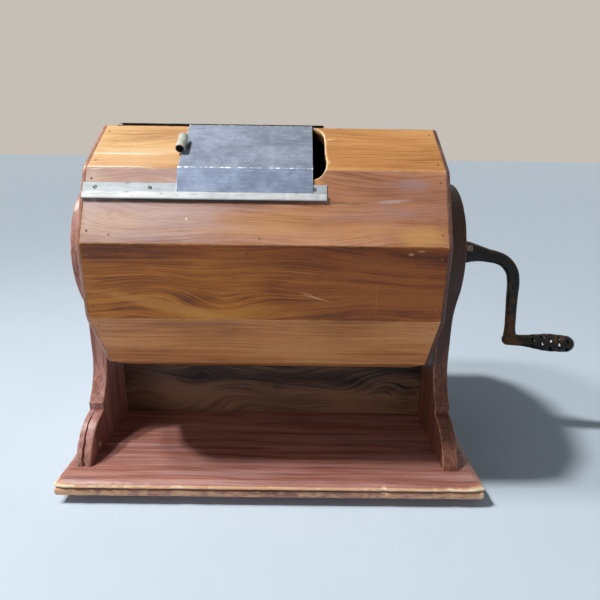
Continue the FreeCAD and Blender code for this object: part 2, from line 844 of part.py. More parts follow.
def write_drum():
    mouth = mouth_cutter()
    all_holes = []
    all_nails = []
    screws_at = {
        (door_facet - 1) % side_count: rail_screws(-1, front_rail_length),
        (door_facet + 1) % side_count: rail_screws(1, rear_rail_length),
    }
    for facet in range(side_count):
        holes = facet_nail_holes(facet)
        all_holes += holes
        all_nails += facet_nails(facet)
        cutters = holes + screws_at.get(facet, [])
        near_mouth = abs(facet - door_facet) <= 1
        if facet == door_facet:
            write("door_stave_left", stave(facet, -stave_end, mouth_offset, cutters + [mouth]))
            write("door_stave_right", stave(facet, mouth_offset, stave_end, cutters + [mouth]))
        else:
            write(f"stave_{facet + 1:02d}",
                  stave(facet, -stave_end, stave_end, cutters + ([mouth] if near_mouth else [])))
    write("stave_nails", all_nails)
    for name, side in (("left", -1), ("right", 1)):
        write(f"{name}_end_board", end_board(side, all_holes))
        journal_end = journal_tip if side > 0 else support_outer + left_journal_stub
        write(f"{name}_gudgeon", gudgeon(side, journal_end))
        write(f"{name}_flange_screws", flange_screws(side))
        write(f"{name}_thrust_washer", thrust_washer(side))
    write("front_rail", rail(-1, front_rail_length))
    write("rear_rail", rail(1, rear_rail_length))
    write("rail_screws", rail_screws(-1, front_rail_length) + rail_screws(1, rear_rail_length))
    write("door_sheet", door_sheet())
    write("crank", crank())
    write("crank_set_screw", set_screw())


def write_stand():
    from_below = base_screws(0.0)
    left_holes, right_holes = stretcher_screws(-1, 0.0), stretcher_screws(1, 0.0)
    plinth_holes = plinth_screws(0.0)
    write("base_board", base_board(from_below + plinth_holes))
    write("plinth_board", plinth_board(plinth_holes))
    write("plinth_screws", plinth_screws(screw_recess))
    write("stretcher_board", stretcher_board(from_below + left_holes + right_holes))
    write("left_support", support(-1, from_below + left_holes + [rivet_shank()]))
    write("right_support", support(1, from_below + right_holes))
    write("base_screws", base_screws(screw_recess))
    write("stretcher_screws", stretcher_screws(-1, screw_recess) + stretcher_screws(1, screw_recess))
    write("foot_rivet", foot_rivet())
    write("left_bush", bush(-1))
    write("right_bush", bush(1))


os.makedirs("parts", exist_ok=True)
write_drum()
write_stand()
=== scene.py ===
"""Looks of a hand-cranked wooden tumbler drum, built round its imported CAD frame.

Each piece is a skin of numpy rings: a section carried along a path, closed by a
ladder of faces across its first and last ring. Lengths are metres in the frame
of the CAD model: +X along the axle to the crank, -Y to the front, +Z up.
"""
import bpy
import json
import math
import numpy as np
from mathutils import Matrix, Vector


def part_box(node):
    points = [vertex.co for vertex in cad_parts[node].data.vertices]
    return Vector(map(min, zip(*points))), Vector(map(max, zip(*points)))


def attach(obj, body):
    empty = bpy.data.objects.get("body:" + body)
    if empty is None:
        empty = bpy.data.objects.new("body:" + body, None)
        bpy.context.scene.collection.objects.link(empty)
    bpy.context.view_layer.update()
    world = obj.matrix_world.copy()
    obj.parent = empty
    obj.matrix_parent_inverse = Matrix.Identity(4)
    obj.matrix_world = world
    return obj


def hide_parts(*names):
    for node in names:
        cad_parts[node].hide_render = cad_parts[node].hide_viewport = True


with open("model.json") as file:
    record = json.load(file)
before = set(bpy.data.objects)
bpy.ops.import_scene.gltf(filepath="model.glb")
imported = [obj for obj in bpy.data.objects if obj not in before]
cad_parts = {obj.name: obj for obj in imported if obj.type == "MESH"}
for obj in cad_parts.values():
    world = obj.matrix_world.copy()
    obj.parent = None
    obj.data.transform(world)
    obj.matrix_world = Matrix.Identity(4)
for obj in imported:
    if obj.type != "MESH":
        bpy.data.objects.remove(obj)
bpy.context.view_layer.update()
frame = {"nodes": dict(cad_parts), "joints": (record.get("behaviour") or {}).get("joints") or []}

MM = 0.001
TURN = 2 * math.pi
ALONG_X, ALONG_Y, ALONG_Z = np.eye(3)


def node_points(node):
    """Vertices of a CAD node, as an array."""
    mesh = frame["nodes"][node].data
    flat = np.empty(len(mesh.vertices) * 3)
    mesh.vertices.foreach_get("co", flat)
    return flat.reshape(-1, 3)


# Sizes that the frame gives
axle = np.array(next(joint["pos_m"] for joint in frame["joints"] if joint["name"] == "drum_spin"))
stave_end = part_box("stave_06")[1].x
shoulder_end, rim_end = (corner.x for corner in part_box("right_end_board"))
support_inner, support_outer = (corner.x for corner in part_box("right_support"))
foot_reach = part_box("left_support")[1].y
base_low, base_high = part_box("base_board")
base_floor, base_top = base_low.z, base_high.z
plinth_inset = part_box("plinth_board")[0].x - base_low.x
stretcher_low, stretcher_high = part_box("stretcher_board")
door_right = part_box("door_sheet")[1].x
pull_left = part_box("door_sheet")[0].x
rail_spans = {"front_rail": [corner.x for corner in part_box("front_rail")],
              "rear_rail": [corner.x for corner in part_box("rear_rail")]}
corner_radius = np.hypot(*(node_points("stave_06") - axle).T[1:]).max()

# Drum
SIDES = 12
DRUM_TILT = 12.4                  # degrees from level up to the front corner
DOOR_FACET = 1
STAVE_THICKNESS = 13.0 * MM
STAVE_SEAM = 0.07 * MM            # half the gap between two staves
STAVE_EDGE = 0.7 * MM             # rounding of a worn corner between two facets
STAVE_END_EDGE = 0.5 * MM
STAVE_ALONG, STAVE_ACROSS = 130, 24   # even stations
STAVE_NICKS = 26                  # along one corner
NICK_DEPTH = 0.9 * MM
RIM_EDGE = 1.5 * MM
RIM_CORNER = 0.4 * MM             # taken off each corner of an end board
SIDE_POINTS = 14                  # of an end board's ring, on one side of the drum
NAIL_INSET = 14.5 * MM            # from a corner of the drum
PLUG_RADIUS, PLUG_RISE = 1.5 * MM, 0.16 * MM
half_side = math.pi / SIDES
facet_radius = corner_radius * math.cos(half_side)
facet_half = corner_radius * math.sin(half_side)
inner_half = (facet_radius - STAVE_THICKNESS) * math.tan(half_side)

# Mouth, measured on the door facet
MOUTH_MIDDLE = 12.5 * MM
MOUTH_HALF = 59.0 * MM
MOUTH_LOWER_REACH = 10.8 * MM
MOUTH_UPPER_REACH = 4.0 * MM
MOUTH_LOWER_ROUND = 17.0 * MM
MOUTH_UPPER_ROUND = 28.0 * MM
LOWER_BITE_SLOPE = 1.32           # cut of the mouth in the inner face, by that in the outer one
UPPER_BITE_SLOPE = 1.9

# Door and rails
DOOR_GAUGE = 0.9 * MM
DOOR_FLOOR = 1.35 * MM            # underside of the sheet above the facet
DOOR_WING = 38.2 * MM             # from a fold of the sheet to its edge in the rail
DOOR_FOLD = 1.6 * MM              # radius of the fold
PULL_RADIUS = 6.0 * MM
PULL_LOW, PULL_HIGH = -17.5 * MM, 9.5 * MM
PULL_ROLL = 300.0                 # degrees
PULL_REACH = 1.0 * MM
DOOR_STATIONS, PULL_STATIONS, RAIL_STATIONS = 70, 14, 110
RAIL_SETBACK = 19.6 * MM
RAIL_WIDTH = 21.1 * MM
RAIL_LIP = 9.1 * MM
RAIL_GAUGE = 1.0 * MM
RAIL_HEIGHT = 3.6 * MM
RAIL_SCREWS = 5
RAIL_SCREW_MARGIN = 14.5 * MM
RAIL_HEAD_RADIUS, RAIL_HEAD_RISE = 2.5 * MM, 0.34 * MM
door_left = pull_left + PULL_RADIUS + PULL_REACH

# Stand
HEAD_RADIUS = 101.3 * MM
HEAD_SWEEP = 31.0                 # degrees below level
WAIST_INSET = 13.8 * MM
FLARE_SPREAD = 29.5 * MM
FLARE_HEIGHT = 65.5 * MM
FLARE_TURN = 48.0                 # degrees
LOBE_HEIGHT = 54.5 * MM
LOBE_BULGE = 13.0 * MM
SUPPORT_EDGE = 1.3 * MM
SUPPORT_LAYERS = 44
SPLIT_DEPTH = 9.0 * MM
BASE_CORNER = 1.6 * MM
BASE_CORNER_LOSS, BASE_CORNER_REACH = 3.4 * MM, 11.0 * MM
EDGE_BAND = 14.0 * MM             # strip along the front and the back of the base
BASE_SIDE_STEPS, BASE_FRONT_STEPS = 60, 240
BEVEL_WIDTH = 8.0 * MM
BEVEL_DROP = 3.2 * MM
NOSE_HEIGHT = 5.8 * MM
NOSE_BULGE = 2.4 * MM
GROOVE_HEIGHT = 1.8 * MM
GROOVE_DEPTH = 1.6 * MM
BEAD_BULGE = 0.9 * MM
STRETCHER_ALONG, STRETCHER_ACROSS = 90, 18
PLINTH_SCREW_MARGIN = 25.0 * MM
SCREW_RADIUS, SCREW_RISE, SLOT_HALF, SLOT_DEPTH = 4.0 * MM, 0.2 * MM, 0.55 * MM, 0.45 * MM
JOURNAL_RADIUS = 8.0 * MM
BUSH_RADIUS = 12.0 * MM
BUSH_FLANGE_RADIUS = 20.0 * MM
BUSH_FLANGE = 2.0 * MM


# Shapes

def fade(distance, reach):
    """1 at no distance, falling off exponentially over the reach."""
    return np.exp(-distance / reach)


def bell(distance, reach):
    """1 at no distance, falling off as a bell curve over the reach."""
    return np.exp(-(distance / reach) ** 2)


def circle(count):
    """Angles of points spread evenly round a circle."""
    return np.arange(count) * TURN / count


def unit(vectors):
    """Vectors, each scaled to a length of 1."""
    return vectors / np.linalg.norm(vectors, axis=-1, keepdims=True)


def there_and_back(first, second):
    """Rows across one face, which return across the other."""
    return np.concatenate([first, second[:, ::-1]], axis=1)


def superellipse(angle, power):
    """Radius of a rounded square, by the angle: |cos|^p + |sin|^p to the power -1/p."""
    return (np.abs(np.cos(angle)) ** power + np.abs(np.sin(angle)) ** power) ** (-1 / power)


def quads(index):
    """Faces between neighbouring rows of point numbers, closed round each row."""
    following = np.roll(index, -1, axis=-1)
    corners = (index[..., :-1, :], following[..., :-1, :], following[..., 1:, :], index[..., 1:, :])
    return np.stack(corners, -1).reshape(-1, 4)


def ripple(place, seed, lengths, height):
    """Slow unevenness: sine waves of the given lengths with seeded phases, averaged."""
    phases = np.random.default_rng(seed).uniform(0, TURN, len(lengths))
    waves = np.sin(np.asarray(place)[..., None] * TURN / np.array(lengths) + phases)
    return waves.mean(-1) * height


def nicks(place, seed, count, low, high, reach, depth):
    """Small hollows between low and high: seeded bell curves added up."""
    rng = np.random.default_rng(seed)
    middles = rng.uniform(low, high, count)
    reaches = rng.uniform(0.35, 1.0, count) * reach
    depths = rng.uniform(0.15, 1.0, count) ** 2 * depth
    return (depths * bell(np.asarray(place)[..., None] - middles, reaches)).sum(-1)


def stations(length, count):
    """Places from 0 to length, close together near both ends."""
    close = np.array([0.0, 0.12, 0.3, 0.6, 1.1, 2.0, 3.5]) * MM
    margin = 6 * MM
    even = np.linspace(margin, length - margin, count)
    return np.concatenate([close, even, (length - close)[::-1]])


def rounded(distance, radius):
    """Drop of a surface at a distance from its edge: a quarter circle of that radius."""
    inside = np.clip(radius - distance, 0, radius)
    return radius - np.sqrt(radius ** 2 - inside ** 2)


def travelled(points):
    """Length of a line of points up to each of them."""
    return np.concatenate([[0], np.cumsum(np.linalg.norm(np.diff(points, axis=0), axis=1))])


def smooth_line(points, count):
    """Cubic curve through points, with each point's slope taken from its two neighbours."""
    points = np.asarray(points, float)
    length = travelled(points[:, :2])
    slopes = np.gradient(points, length, axis=0)
    place = np.linspace(0, length[-1], count)
    k = np.clip(np.searchsorted(length, place, side="right") - 1, 0, len(points) - 2)
    step = (length[k + 1] - length[k])[:, None]
    t = (place - length[k])[:, None] / step
    return (points[k] * (1 + 2 * t) * (1 - t) ** 2 + slopes[k] * step * t * (1 - t) ** 2
            + points[k + 1] * t ** 2 * (3 - 2 * t) + slopes[k + 1] * step * t ** 2 * (t - 1))


def arc_points(start, end, bulge, count):
    """Circular arc between two (y, z) points, standing out by bulge to the left of its chord."""
    start, end = np.asarray(start, float), np.asarray(end, float)
    chord = end - start
    half = np.linalg.norm(chord) / 2
    along = chord / (2 * half)
    out = np.array([-along[1], along[0]])
    radius = (half ** 2 + bulge ** 2) / (2 * bulge)
    reach = math.asin(half / radius)
    angle = np.linspace(-reach, reach, count)[:, None]
    middle = (start + end) / 2 + out * (bulge - radius)
    return middle + radius * (np.sin(angle) * along + np.cos(angle) * out)


def on_facet(facet, x, up, out):
    """Points from a facet's own measures: along the axle, up the facet and out from the axle."""
    lift = math.radians(DRUM_TILT + (facet + 0.5) * 360 / SIDES)
    upward = np.array([0, math.sin(lift), math.cos(lift)])
    outward = np.array([0, -math.cos(lift), math.sin(lift)])
    x, up, out = (np.asarray(value)[..., None] for value in np.broadcast_arrays(x, up, out))
    return axle + x * ALONG_X + up * upward + out * outward


class Skin:
    """Closed skin of rings, painted with two measures: wear, and place in the board.

    The place is along the grain, across it and into the board.
    """

    def __init__(self, rings, wear=0.0, board=None, looped=False):
        count, around = rings.shape[:2]
        index = np.arange(count * around).reshape(count, around)
        if looped:
            index = np.concatenate([index, index[:1]])
        faces = [quads(index)]
        if not looped:
            faces += [self.ladder(index[0]), self.ladder(index[-1])[:, ::-1]]
        self.points = rings.reshape(-1, 3)
        self.faces = self.facing_out(np.concatenate(faces))
        self.wear = np.broadcast_to(wear, (count, around)).reshape(-1)
        board = rings if board is None else np.broadcast_to(board, rings.shape)
        self.board = board.reshape(-1, 3)

    @staticmethod
    def ladder(ring):
        """Faces between the two halves of a ring."""
        half = len(ring) // 2
        left, right = ring[:half], ring[half:][::-1]
        return np.stack([left[1:], left[:-1], right[:-1], right[1:]], -1)

    def facing_out(self, faces):
        """The faces, turned round if the volume that they close comes out negative."""
        a, b, c, d = (self.points[faces[:, k]] for k in range(4))
        volume = (a * (np.cross(b, c) + np.cross(c, d))).sum()
        return faces if volume > 0 else faces[:, ::-1]


def piece(name, skins, body, finish, nodes=(), crease=38):
    """One object of one or more skins, which rides on a body in place of CAD nodes."""
    starts = np.cumsum([0] + [len(skin.points) for skin in skins])
    points = np.concatenate([skin.points for skin in skins])
    faces = np.concatenate([skin.faces + start for skin, start in zip(skins, starts)])
    mesh = bpy.data.meshes.new(name)
    mesh.from_pydata(points.tolist(), [], faces.tolist())
    wear = np.concatenate([skin.wear for skin in skins]).astype(np.float32)
    board = np.concatenate([skin.board for skin in skins]).astype(np.float32)
    mesh.attributes.new("wear", "FLOAT", "POINT").data.foreach_set("value", wear)
    mesh.attributes.new("board", "FLOAT_VECTOR", "POINT").data.foreach_set("vector", board.ravel())
    mesh.polygons.foreach_set("use_smooth", np.ones(len(faces), bool))
    mesh.set_sharp_from_angle(angle=math.radians(crease))
    mesh.materials.append(finish)
    made = bpy.data.objects.new(name, mesh)
    bpy.context.scene.collection.objects.link(made)
    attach(made, body)
    if nodes:
        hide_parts(*nodes)
    return made


# Drum

def mouth_reach(up):
    """Half the mouth's length at a height on the door facet, less the rounded corners."""
    lower_loss = rounded(up + facet_half + MOUTH_LOWER_REACH, MOUTH_LOWER_ROUND)
    upper_loss = rounded(facet_half + MOUTH_UPPER_REACH - up, MOUTH_UPPER_ROUND)
    return MOUTH_HALF - lower_loss - upper_loss


def mouth_bite(x, reach, corner):
    """How far the mouth cuts past a corner of the door facet, less its own rounded corner."""
    bite = reach - rounded(MOUTH_HALF - np.abs(x - MOUTH_MIDDLE), corner)
    return np.clip(bite, 0, reach) / math.cos(2 * half_side)


def lower_bite(x):
    """Cut of the mouth into the stave in front of the door."""
    return mouth_bite(x, MOUTH_LOWER_REACH, MOUTH_LOWER_ROUND)


def upper_bite(x):
    """Cut of the mouth into the stave behind the door."""
    return mouth_bite(x, MOUTH_UPPER_REACH, MOUTH_UPPER_ROUND)


def stave(facet, seed, ends=None, bites=(0, 0), bite_slope=1.0, mouth_end=0):
    """Stave as a grid of stations along the axle and across the facet.

    The outer face drops by a quarter circle at each border, and by seeded nicks
    along its corners. The inner face is the same grid, narrowed by the mitre.
    ends gives the two ends for a height on the facet, and bites the cuts of the
    mouth into the lower and upper edge.
    """
    length = 2 * stave_end
    along = (stations(length, STAVE_ALONG) / length)[:, None]
    across = (stations(2 * facet_half, STAVE_ACROSS) / (2 * facet_half))[None, :]
    up = facet_half * (2 * across - 1)
    whole = np.full_like(up, stave_end)
    start, end = ends(up) if ends else (-whole, whole)
    x = start + (end - start) * along
    low_bite, high_bite = (bite(x) if callable(bite) else np.zeros_like(x) for bite in bites)
    low, high = STAVE_SEAM - facet_half + low_bite, facet_half - STAVE_SEAM - high_bite
    outer_up = low + (high - low) * across
    inner_low = STAVE_SEAM - inner_half + low_bite * bite_slope
    inner_high = inner_half - STAVE_SEAM - high_bite * bite_slope
    inner_up = inner_low + (inner_high - inner_low) * across

    low_gap, high_gap = outer_up - low, high - outer_up
    start_gap, end_gap = x - start, end - x
    chips = nicks(x, seed + 40, STAVE_NICKS, -stave_end, stave_end, 5 * MM, NICK_DEPTH)
    top_chips = nicks(x, seed + 70, STAVE_NICKS, -stave_end, stave_end, 6 * MM, NICK_DEPTH)
    drop = rounded(low_gap, STAVE_EDGE) + rounded(high_gap, STAVE_EDGE)
    drop = drop + rounded(start_gap, STAVE_END_EDGE) + rounded(end_gap, STAVE_END_EDGE)
    drop = drop + chips * fade(low_gap, 1.3 * MM) + top_chips * fade(high_gap, 1.3 * MM)
    swell = ripple(x, seed, (0.43, 0.19, 0.11), 0.12 * MM)
    swell = swell + ripple(outer_up, seed + 9, (0.08, 0.05), 0.1 * MM)
    swell = swell * np.minimum(1, end_gap / MM)
    outer = on_facet(facet, x, outer_up, facet_radius - drop + swell)
    inner = on_facet(facet, x, inner_up, facet_radius - STAVE_THICKNESS)

    wear = 0.62 * fade(np.minimum(low_gap, high_gap), 1.6 * MM)
    wear = wear + 0.45 * fade(np.minimum(start_gap, end_gap), 1.5 * MM)
    wear = wear + 300 * (chips * fade(low_gap, 2 * MM) + top_chips * fade(high_gap, 2 * MM))
    if mouth_end:
        wear = wear + 1.2 * fade(end_gap if mouth_end > 0 else start_gap, 1.7 * MM)
    wear = wear + np.where(low_bite > 0, fade(low_gap, 2.2 * MM), 0)
    wear = wear + np.where(high_bite > 0, fade(high_gap, 2.2 * MM), 0)

    depth = np.full_like(x, 0.7 * seed)
    outer_board = np.stack([x, outer_up, depth], -1)
    inner_board = np.stack([x, inner_up, depth - STAVE_THICKNESS], -1)
    # The inner faces get a wear of -4, which the wood finish paints near black: painted shade
    # inside the drum.
    inside_drum_shade_wear = np.full_like(wear, -4.0)
    return Skin(there_and_back(outer, inner), there_and_back(wear, inside_drum_shade_wear),
                there_and_back(outer_board, inner_board))


def sawn(up, seed):
    """Unsteady line of a hand-sawn edge."""
    return ripple(up, seed, (31 * MM, 17 * MM, 9 * MM), 0.6 * MM)


def left_of_mouth(up):
    """Ends of the stave left of the mouth, for a height on the facet."""
    return np.full_like(up, -stave_end), MOUTH_MIDDLE - mouth_reach(up) + sawn(up, 3)


def right_of_mouth(up):
    """Ends of the stave right of the mouth, for a height on the facet."""
    chips = nicks(up, 12, 9, -facet_half, facet_half, 4 * MM, 1.6 * MM)
    return MOUTH_MIDDLE + mouth_reach(up) + sawn(up, 4) + chips, np.full_like(up, stave_end)


def polygon_ring(inradius, x):
    """Ring of the drum's section: inradius / cos(angle from the facet's middle)."""
    count = SIDES * SIDE_POINTS
    angle = np.radians(DRUM_TILT) + (np.arange(count) + 0.5) * TURN / count
    from_middle = np.mod(angle - np.radians(DRUM_TILT), 2 * half_side) - half_side
    corner = inradius / math.cos(half_side) - RIM_CORNER
    radius = np.minimum(inradius / np.cos(from_middle), corner)
    ring = [np.full_like(angle, x), -radius * np.cos(angle), radius * np.sin(angle)]
    return axle + np.stack(ring, -1)


def end_board(side):
    """End board as drum-shaped rings: the shoulder inside the staves, then the rim."""
    shoulder = STAVE_THICKNESS + 0.3 * MM
    steps = [(shoulder, shoulder_end), (shoulder, stave_end - 0.2 * MM),
             (1.6 * MM, stave_end + 0.05 * MM), (0.45 * MM, stave_end + 0.15 * MM),
             (0.1 * MM, stave_end + 0.5 * MM), (0.0, stave_end + 1.1 * MM)]
    steps += [(RIM_EDGE * (1 - math.cos(turn)), rim_end - RIM_EDGE * (1 - math.sin(turn)))
              for turn in np.linspace(0, math.pi / 2, 6)]
    steps += [(5 * MM, rim_end), (20 * MM, rim_end)]
    rings = np.stack([polygon_ring(facet_radius - inset, side * x) for inset, x in steps])
    worn = [0, 0, 0, 0.1, 0.4, 0.25, 0.25, 0.4, 0.55, 0.6, 0.5, 0.35, 0.1, 0]
    board = np.stack([rings[..., 2], rings[..., 1], rings[..., 0] + side], -1)
    return Skin(rings, np.array(worn)[:, None], board)


def round_head(place, across, outward, radius, rise, slot_half=0.0, sink=0.5 * MM):
    """Domed head of a screw or nail: rings of a low dome, lowered along a slot."""
    along = np.cross(outward, across)
    angle = circle(20)
    reach = np.array([1.0, 1.0, 0.96, 0.86, 0.7, 0.5, 0.3, 0.12, 0.02])[:, None] * radius
    height = np.concatenate([[-sink], rise * np.sqrt(1 - np.linspace(1, 0, 8) ** 2)])[:, None]
    a, b = reach * np.cos(angle), reach * np.sin(angle)
    cut = np.where((np.abs(b) < slot_half) & (height > -sink), SLOT_DEPTH, 0.0)
    rings = place + a[..., None] * along + b[..., None] * across
    rings = rings + (height - cut)[..., None] * outward
    return Skin(rings, fade(np.abs(reach - radius), 0.5 * MM) * np.ones_like(a))


def facet_axes(facet):
    """Directions up a facet and out of it."""
    origin = on_facet(facet, 0.0, 0.0, 0.0)
    return on_facet(facet, 0.0, 1.0, 0.0) - origin, on_facet(facet, 0.0, 0.0, 1.0) - origin


def nail_plugs():
    """Filled nail holes at the ends of every stave, over the shoulders of the end boards."""
    x = (stave_end + shoulder_end) / 2
    up = facet_half - NAIL_INSET
    plugs = []
    for facet in range(SIDES):
        upward, outward = facet_axes(facet)
        for along in (-x, x):
            for across in (-up, up):
                place = on_facet(facet, along, across, facet_radius)
                plugs.append(round_head(place, upward, outward, PLUG_RADIUS, PLUG_RISE))
    return plugs


# Door and rails

def bent_strip(middle, gauge):
    """Two faces of a strip, half its gauge to each side of its middle line of (up, out) points."""
    slope = unit(np.gradient(middle, axis=0))
    normal = np.stack([-slope[:, 1], slope[:, 0]], -1)
    return middle + normal * gauge / 2, middle - normal * gauge / 2


def strip_rings(facet, x, upper, lower, flip=1):
    """Rings of a strip carried along the axle, from (stations, points, 2) faces."""
    section = there_and_back(upper, lower)
    return on_facet(facet, x[:, None], flip * section[..., 0], section[..., 1])


def door_sheet():
    """Sheet folded over both corners of the door facet, slightly uneven.

    The middle line is the running sum of a direction that turns by one side of
    the drum over the length of each fold. Of its points, all those near a fold
    and every eighth one elsewhere are kept.
    """
    middle_out = facet_radius + DOOR_FLOOR + DOOR_GAUGE / 2
    flat = middle_out * math.tan(half_side)
    q = np.linspace(-flat - DOOR_WING, flat + DOOR_WING, 321)
    turn = 2 * half_side
    fold = DOOR_FOLD * turn
    lean = np.clip((-q - flat) / fold + 0.5, 0, 1) - np.clip((q - flat) / fold + 0.5, 0, 1)
    step = q[1] - q[0]
    up = np.cumsum(np.cos(turn * lean)) * step
    out = np.cumsum(np.sin(turn * lean)) * step
    from_fold = np.abs(np.abs(q) - flat)
    keep = (from_fold < 4 * MM) | (np.arange(len(q)) % 8 == 0)
    middle = np.stack([up - up.mean(), out - out.max() + middle_out], -1)[keep]
    q, near_fold = q[keep], bell(from_fold, 1.3 * MM)[keep]
    upper, lower = bent_strip(middle, DOOR_GAUGE)
    x = door_left + stations(door_right - door_left, DOOR_STATIONS)
    wave = ripple(x, 21, (0.16, 0.09, 0.05), 0.1 * MM)[:, None] * np.cos(q * 30)
    edge = np.minimum(x - door_left, door_right - x)[:, None]
    thin = rounded(edge, 0.25 * MM)
    lift = np.stack([np.zeros_like(wave), wave], -1)
    pinch = np.stack([np.zeros_like(wave), np.broadcast_to(thin, wave.shape)], -1)
    rings = strip_rings(DOOR_FACET, x, upper[None] + lift - pinch, lower[None] + lift + pinch)
    wear = 0.68 * near_fold + 0.8 * fade(edge, 1.0 * MM)
    board = np.stack(np.broadcast_arrays(x[:, None], q, 0.0), -1)
    return Skin(rings, there_and_back(wear, 0 * wear), there_and_back(board, board))


def rolled_pull():
    """Tab rolled up into an open tube: an arc and its flat tail, carried along the facet."""
    radius = PULL_RADIUS - DOOR_GAUGE / 2
    angle = np.radians(np.linspace(-90 - PULL_ROLL, -90, 49))
    centre_x = door_left - PULL_REACH
    centre_out = facet_radius + DOOR_FLOOR + PULL_RADIUS
    tail = centre_x + np.linspace(1, 9, 5) * MM
    x = np.concatenate([centre_x + radius * np.cos(angle), tail])
    out = np.concatenate([centre_out + radius * np.sin(angle), np.full(5, centre_out - radius)])
    outside, inside = bent_strip(np.stack([x, out], -1), DOOR_GAUGE)
    section = np.concatenate([outside, inside[::-1]])
    up = PULL_LOW + stations(PULL_HIGH - PULL_LOW, PULL_STATIONS)
    edge = np.minimum(up - PULL_LOW, PULL_HIGH - up)
    flare = (1 + 0.012 * fade(edge, 2 * MM))[:, None]
    rings = on_facet(DOOR_FACET, centre_x + (section[:, 0] - centre_x) * flare, up[:, None],
                     centre_out + (section[:, 1] - centre_out) * flare)
    # One face of the rolled strip gets a wear of -1, which its finish paints near black: painted
    # shade inside the tube.
    painted_shade_inside = np.where(np.arange(len(section)) < len(outside), -1.0, 0.0)
    return Skin(rings, painted_shade_inside + 0.6 * fade(edge, 0.4 * MM)[:, None])


def rail(name, side):
    """Strip folded back over itself: flange, half-round bend and lip, carried along the axle."""
    flange_points, bend_points, lip_points = 12, 15, 8
    bend, half_gauge = RAIL_HEIGHT / 2, RAIL_GAUGE / 2
    radius = bend - half_gauge
    turn = np.linspace(-math.pi / 2, -3 * math.pi / 2, bend_points)
    y = np.concatenate([np.linspace(RAIL_WIDTH, bend + 0.4 * MM, flange_points),
                        bend + radius * np.cos(turn),
                        np.linspace(bend + 0.4 * MM, RAIL_LIP, lip_points)])
    out = np.concatenate([np.full(flange_points, half_gauge), bend + radius * np.sin(turn),
                          np.full(lip_points, RAIL_HEIGHT - half_gauge)])
    upper, lower = bent_strip(np.stack([y, out], -1), RAIL_GAUGE)
    place = np.array([facet_half - RAIL_SETBACK - RAIL_WIDTH, facet_radius])
    start, end = rail_spans[name]
    x = start + stations(end - start, RAIL_STATIONS)
    on_lip = np.arange(len(y)) > flange_points
    dent = ripple(x, 31 + side, (0.19, 0.083, 0.041), 0.12 * MM)[:, None] * on_lip
    dent = dent - nicks(x, 33 + side, 14, start, end, 3 * MM, 0.35 * MM)[:, None] * on_lip
    shift = np.stack([0 * dent, dent], -1)
    rings = strip_rings(DOOR_FACET + side, x, place + upper + shift, place + lower + shift, -side)
    edge = np.minimum(x - start, end - x)[:, None]
    wear = 0.8 * fade(edge, 1.5 * MM) + 0.5 * fade(np.abs(y - RAIL_LIP), 0.6 * MM) * on_lip
    board = np.stack(np.broadcast_arrays(x[:, None], y, out), -1)
    return Skin(rings, there_and_back(wear, 0 * wear), there_and_back(board, board))


def rail_screw_heads():
    """Slotted heads along the flanges of both rails."""
    line = facet_half - RAIL_SETBACK - RAIL_WIDTH + (RAIL_WIDTH + RAIL_LIP) / 2
    out = facet_radius + RAIL_GAUGE - 0.1 * MM
    heads = []
    for name, side in (("front_rail", -1), ("rear_rail", 1)):
        start, end = rail_spans[name]
        upward, outward = facet_axes(DOOR_FACET + side)
        spots = np.linspace(start + RAIL_SCREW_MARGIN, end - RAIL_SCREW_MARGIN, RAIL_SCREWS)
        for count, x in enumerate(spots):
            slant = 0.7 + 1.3 * count
            across = upward * math.cos(slant) + ALONG_X * math.sin(slant)
            place = on_facet(DOOR_FACET + side, x, -side * line, out)
            heads.append(round_head(place, across, outward, RAIL_HEAD_RADIUS, RAIL_HEAD_RISE,
                                    0.35 * MM))
    return heads


# Stand

def lyre_half():
    """Half outline of a support from the top of its head to its toe, as (y, z) points.

    Round head, hollow neck, straight waist, flare, upright fillet and bulged lobe.
    """
    sweep, flare = math.radians(HEAD_SWEEP), math.radians(FLARE_TURN)
    head = np.linspace(math.pi / 2 - 0.004, -sweep, 90)
    head_y, head_z = HEAD_RADIUS * np.cos(head), axle[2] + HEAD_RADIUS * np.sin(head)
    waist = head_y[-1] - WAIST_INSET
    hollow_radius = WAIST_INSET / (1 - math.cos(sweep))
    hollow = np.linspace(sweep, 0, 24)[1:]
    hollow_y = waist + hollow_radius * (1 - np.cos(hollow))
    hollow_z = head_z[-1] - hollow_radius * (math.sin(sweep) - np.sin(hollow))
    flare_radius = FLARE_SPREAD / (1 - math.cos(flare))
    opening = np.linspace(0, flare, 30)
    flare_y = waist + flare_radius * (1 - np.cos(opening))
    flare_z = base_top + FLARE_HEIGHT + flare_radius * (math.sin(flare) - np.sin(opening))
    fillet_z = base_top + np.linspace(FLARE_HEIGHT, LOBE_HEIGHT, 9)[1:]
    fillet_y = np.full_like(fillet_z, flare_y[-1])
    lobe_top, toe = (flare_y[-1], base_top + LOBE_HEIGHT), (foot_reach, base_top)
    lobe = arc_points(lobe_top, toe, LOBE_BULGE, 60)[1:]
    y = np.concatenate([head_y, hollow_y, flare_y, fillet_y, lobe[:, 0]])
    z = np.concatenate([head_z, hollow_z, flare_z, fillet_z, lobe[:, 1]])
    return np.stack([y, z], -1)


def falling(z):
    """Heights that never rise from head to toe, on both halves of each outline."""
    half = z.shape[1] // 2
    front = np.minimum.accumulate(z[:, :half], axis=1)
    back = np.minimum.accumulate(z[:, :half - 1:-1], axis=1)
    return np.concatenate([front, back[:, ::-1]], axis=1)


